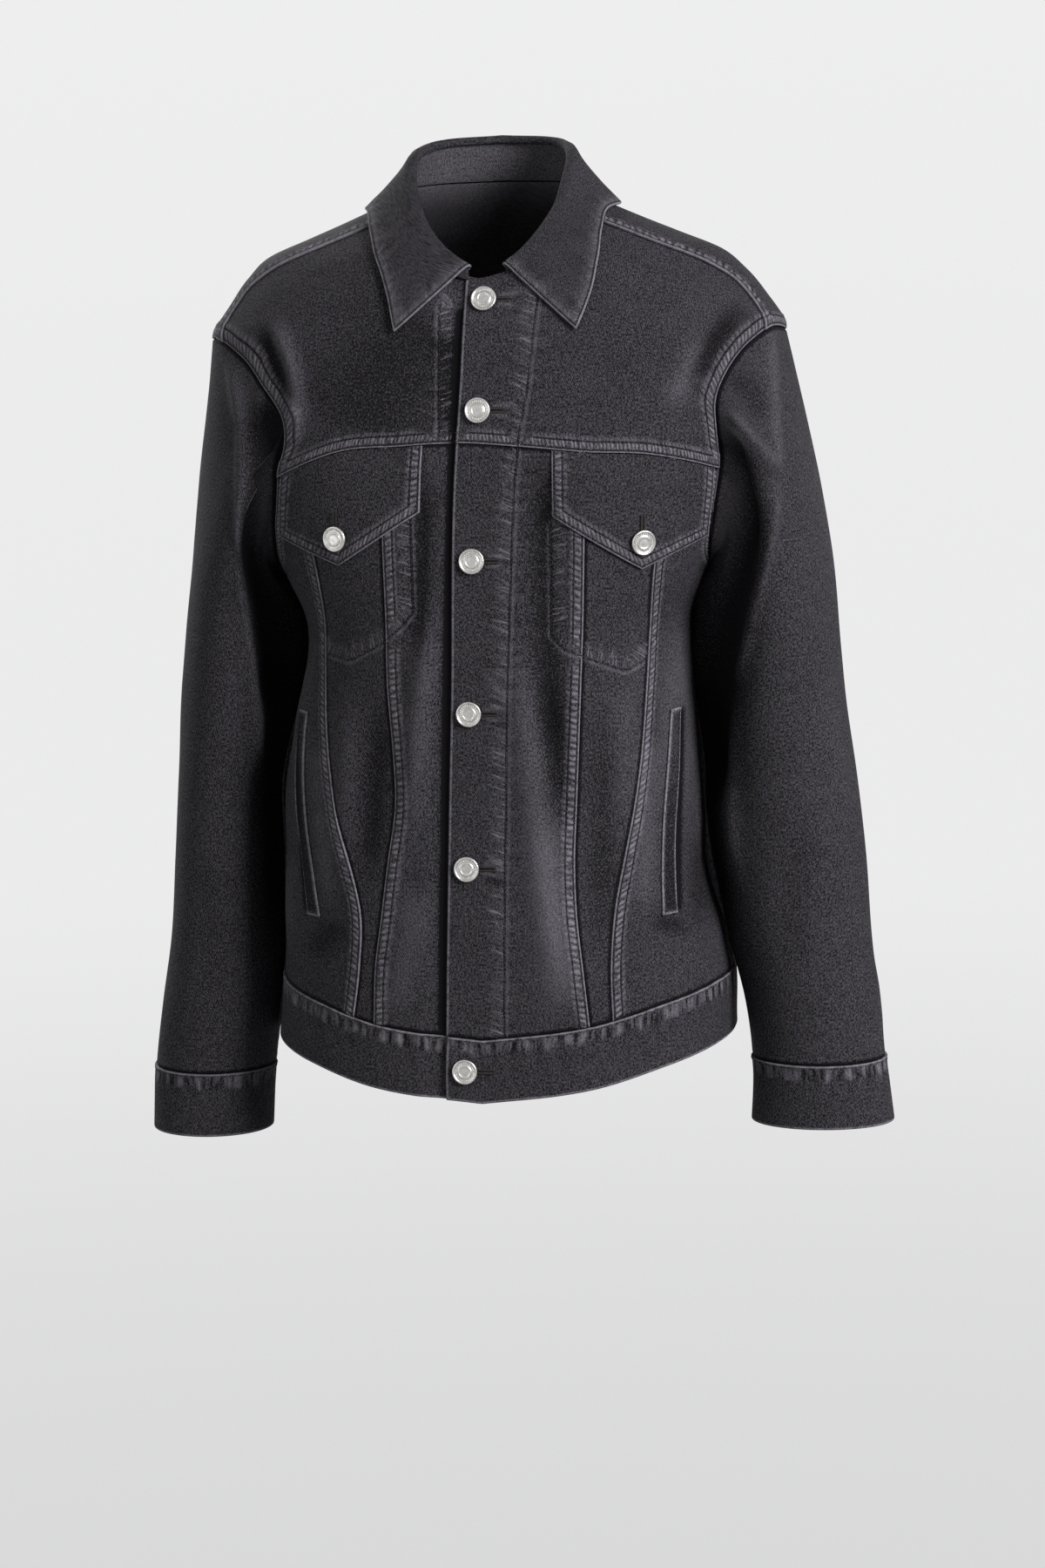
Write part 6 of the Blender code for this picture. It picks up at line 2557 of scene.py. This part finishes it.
    def buttonhole(self, shop: Workshop, base: Array, right: Array, up: Array, out: Array) -> None:
        """Sew the buttonhole's bars of close stitches, either side of its slit.

        Args:
            shop: The workshop that the pieces are made in.
            base: The button's base point.
            right: The direction to the right.
            up: The direction upwards.
            out: The direction outwards.
        """
        ahead = right * self.hole[0] + up * self.hole[1]
        across = np.cross(out, ahead)
        shares = steps(11)[:, None]
        facing = np.repeat(out[None], len(shares), axis=0)
        length = self.hole_end - self.hole_start
        ground = base - out * (BUTTON_LIFT - 0.0004)
        rows = []
        for sign in (1, -1):
            start = ground + ahead * self.hole_start + across * 0.0012 * sign
            rows.append(StitchRow(start + ahead * shares * length, facing))
        end = ground + ahead * (self.hole_end + 0.0004)
        rows.append(StitchRow(end + across * (shares - 0.5) * 0.0030, facing))
        piece = polylines("buttonhole_of_" + self.name, rows)
        tree = Geometry("bar_stitches", {"Pitch": 0.00062, "Length": 0.0021, "Width": 0.00062,
                                         "Material": shop.finishes.hole})
        tree.finish(scatter(tree, 5, 4, across=True))
        tree.apply(piece)
        piece.data.shade_smooth()
        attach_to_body(piece, "root")


@dataclass(frozen=True)
class Studio:
    """The camera, the lights and a plain pale room, which glows with painted light."""

    azimuth: float = 8.0
    elevation: float = 9.2
    distance: float = 3.0
    target: tuple[float, float, float] = (0.012, 0.0, -0.435)
    roll: float = 1.3
    lens: float = 90.9
    floor_z: float = -1.6
    radius: float = 8.0
    bend: float = 1.5
    height: float = 6.6
    segments: int = 72

    def build(self) -> None:
        """Set up all of it."""
        scene = bpy.context.scene
        scene.view_settings.view_transform = "Standard"
        self.camera(scene)
        self.room()
        self.light("key", (2.9, -2.0, 1.2), 1.6, 178.0)
        self.light("fill", (-2.8, -2.6, 0.2), 2.4, 30.0)
        self.light("back_fill", (-1.9, 2.6, 1.5), 2.2, 150.0)
        world = bpy.data.worlds.new("ambient")
        world.use_nodes = True
        world.node_tree.nodes["Background"].inputs[0].default_value = (0.98, 0.99, 1.0, 1)
        world.node_tree.nodes["Background"].inputs[1].default_value = 0.13
        scene.world = world

    def camera(self, scene: bpy.types.Scene) -> None:
        """Place the camera.

        Args:
            scene: The scene to put it in.
        """
        turn, rise, roll = (math.radians(angle) for angle in (self.azimuth, self.elevation, self.roll))
        back = Vector((math.sin(turn) * math.cos(rise), -math.cos(turn) * math.cos(rise), math.sin(rise)))
        level = (-back).cross(Vector((0, 0, 1))).normalized()
        upward = level.cross(-back)
        right = level * math.cos(roll) - upward * math.sin(roll)
        up = level * math.sin(roll) + upward * math.cos(roll)
        camera = bpy.data.objects.new("camera", bpy.data.cameras.new("camera"))
        camera.data.lens = self.lens
        camera.data.clip_end = 40
        camera.matrix_world = Matrix((right, up, back)).transposed().to_4x4()
        camera.location = Vector(self.target) + back * self.distance
        scene.collection.objects.link(camera)
        scene.camera = camera

    def light(self, name: str, place: Sequence[float], size: float, power: float) -> None:
        """Hang one soft light, aimed at the jacket.

        Args:
            name: The name of the light.
            place: Where it hangs.
            size: How wide it is.
            power: How bright it is, in watts.
        """
        lamp = bpy.data.lights.new(name, "AREA")
        lamp.size = size
        lamp.energy = power
        piece = bpy.data.objects.new(name, lamp)
        piece.location = place
        aim = Vector(self.target) - Vector(place)
        piece.rotation_euler = aim.to_track_quat("-Z", "Y").to_euler()
        piece.visible_camera = False
        bpy.context.scene.collection.objects.link(piece)

    def room(self) -> None:
        """Make a round room whose floor sweeps up into its wall, seen only by the camera; it glows with
        painted light.
        """
        shade = Shade("pale_room")
        place = shade.node("ShaderNodeTexCoord").outputs["Object"]
        x, y, z = shade.split(place)
        reach = (x * x + y * y).maths("SQRT")
        # Painted light: the room glows darker in the middle of its floor and brighter out to its wall and up
        # it.
        level = reach.between(1.0, 6.0) * 0.138 + z.between(-1.2, 0.6) * 0.024
        shade.set(
            base_color=(0, 0, 0, 1),
            specular_ior_level=0.0,
            emission_color=shade.colour(level / 0.162, (0.693, 0.693, 0.697), (0.855, 0.855, 0.858)),
            emission_strength=1.0,
        )
        swing = np.radians(90 * steps(12))
        reach_at = np.concatenate([[0], self.radius - self.bend * (1 - np.sin(swing)), [self.radius, 0]])
        height = np.concatenate([[0], self.bend * (1 - np.cos(swing)), [self.height] * 2]) + self.floor_z
        round_it = 2 * math.pi * np.arange(self.segments) / self.segments
        spokes = stack(np.cos(round_it), np.sin(round_it), 0.0)
        verts = (spokes * reach_at[:, None, None] + height[:, None, None] * (0.0, 0.0, 1.0)).reshape(-1, 3)
        piece = new_object("room", verts, [], tube(len(height), self.segments))
        piece.data.flip_normals()
        piece.data.shade_smooth()
        piece.data.materials.append(shade.material)
        piece.visible_diffuse = piece.visible_shadow = False
        piece.visible_transmission = piece.visible_volume_scatter = False


FRONTS = (
    Front(
        Side.LEFT,
        flap_top=(0.056, 0.168),
        flap_points=((0.056, -0.220), (0.117, -0.260), (0.160, -0.240)),
        welt_top=(60.5, 66.0),
        welt_bottom=(52.0, 57.5),
        pocket=((0.055, -0.225), (0.055, -0.306), (0.064, -0.316), (0.105, -0.334), (0.123, -0.325),
                (0.132, -0.313)),
        facing=((0.045, -0.060), (0.044, -0.075), (0.039, -0.127), (0.033, -0.161), (0.029, -0.199),
                (0.022, -0.347), (0.019, -0.441), (0.017, -0.504), (0.015, -0.600)),
    ),
    Front(
        Side.RIGHT,
        flap_top=(-0.037, -0.146),
        flap_points=((-0.040, -0.216), (-0.101, -0.255), (-0.150, -0.236)),
        welt_top=(-61.5, -56.0),
        welt_bottom=(-52.5, -47.0),
        pocket=((-0.047, -0.217), (-0.047, -0.288), (-0.055, -0.298), (-0.068, -0.310), (-0.097, -0.325),
                (-0.118, -0.322)),
        facing=((-0.026, -0.070), (-0.0255, -0.160)),
    ),
)

SLEEVES = (
    Sleeve(
        Side.LEFT,
        Table(
            "z centre_x centre_y half_width half_depth reach",
            (
                (-0.698, 0.2385, -0.020, 0.0540, 0.037, 0.0),
                (-0.648, 0.2365, -0.018, 0.0500, 0.040, 0.0),
                (-0.600, 0.2310, -0.012, 0.0500, 0.046, 0.0),
                (-0.550, 0.2235, -0.006, 0.0520, 0.051, 0.0036),
                (-0.490, 0.2165, 0.000, 0.0550, 0.056, 0.0090),
                (-0.430, 0.2110, 0.004, 0.0540, 0.062, 0.0100),
                (-0.370, 0.2050, 0.004, 0.0520, 0.070, 0.0100),
                (-0.335, 0.2030, 0.003, 0.0510, 0.075, 0.0105),
                (-0.300, 0.2010, 0.002, 0.0500, 0.080, 0.0070),
            ),
        ),
        end=-0.6385,
        flare=0.22,
        reach_turn=170,
    ),
    Sleeve(
        Side.RIGHT,
        Table(
            "z centre_x centre_y half_width half_depth reach",
            (
                (-0.698, 0.2315, -0.020, 0.0455, 0.041, 0.0),
                (-0.648, 0.2285, -0.018, 0.0458, 0.043, 0.0),
                (-0.600, 0.2245, -0.012, 0.0440, 0.050, 0.0035),
                (-0.550, 0.2185, -0.006, 0.0425, 0.056, 0.0040),
                (-0.490, 0.2155, 0.000, 0.0412, 0.062, 0.0040),
                (-0.430, 0.2120, 0.004, 0.0405, 0.067, 0.0),
                (-0.370, 0.2040, 0.004, 0.0430, 0.072, 0.0035),
                (-0.335, 0.1995, 0.003, 0.0430, 0.0755, 0.0075),
                (-0.300, 0.1950, 0.002, 0.0430, 0.079, 0.0030),
            ),
        ),
        end=-0.6485,
        flare=0.10,
        reach_turn=188,
    ),
)

BUTTONS = (
    Button("button_1", 0.006, -0.066, BUTTON_LIFT, hole_end=0.0175),
    Button("button_2", 0.003, -0.144, BUTTON_LIFT, hole_end=0.0185),
    Button("button_3", -0.002, -0.251, BUTTON_LIFT, hole_end=0.0190),
    Button("button_4", -0.006, -0.361, BUTTON_LIFT, hole_end=0.0200),
    Button("button_5", -0.010, -0.474, BUTTON_LIFT, hole_end=0.0205),
    Button("button_6", -0.014, -0.623, BUTTON_LIFT + BAND_PROUD, hole_end=0.0215),
    Button("flap_button_right", -0.102, -0.235, BUTTON_LIFT + PATCH_LIFT, hole=(0.0, 1.0), hole_end=0.0200),
    Button("flap_button_left", 0.118, -0.240, BUTTON_LIFT + PATCH_LIFT, hole=(0.0, 1.0), hole_end=0.0190),
)


def write_sizes() -> None:
    """Bring the view layer up to date."""
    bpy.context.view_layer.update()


def main() -> None:
    """Build the jacket and its studio."""
    logging.basicConfig(level=logging.INFO, format="%(message)s")
    shop = Workshop(Finishes.make())
    Back().build(shop)
    for front in FRONTS:
        front.build(shop)
    for sleeve in SLEEVES:
        sleeve.build(shop)
    Waistband().build(shop)
    Collar().build(shop)
    for button in BUTTONS:
        button.build(shop)
    shop.stitches()
    Studio().build()
    write_sizes()


if __name__ == "__main__":
    main()
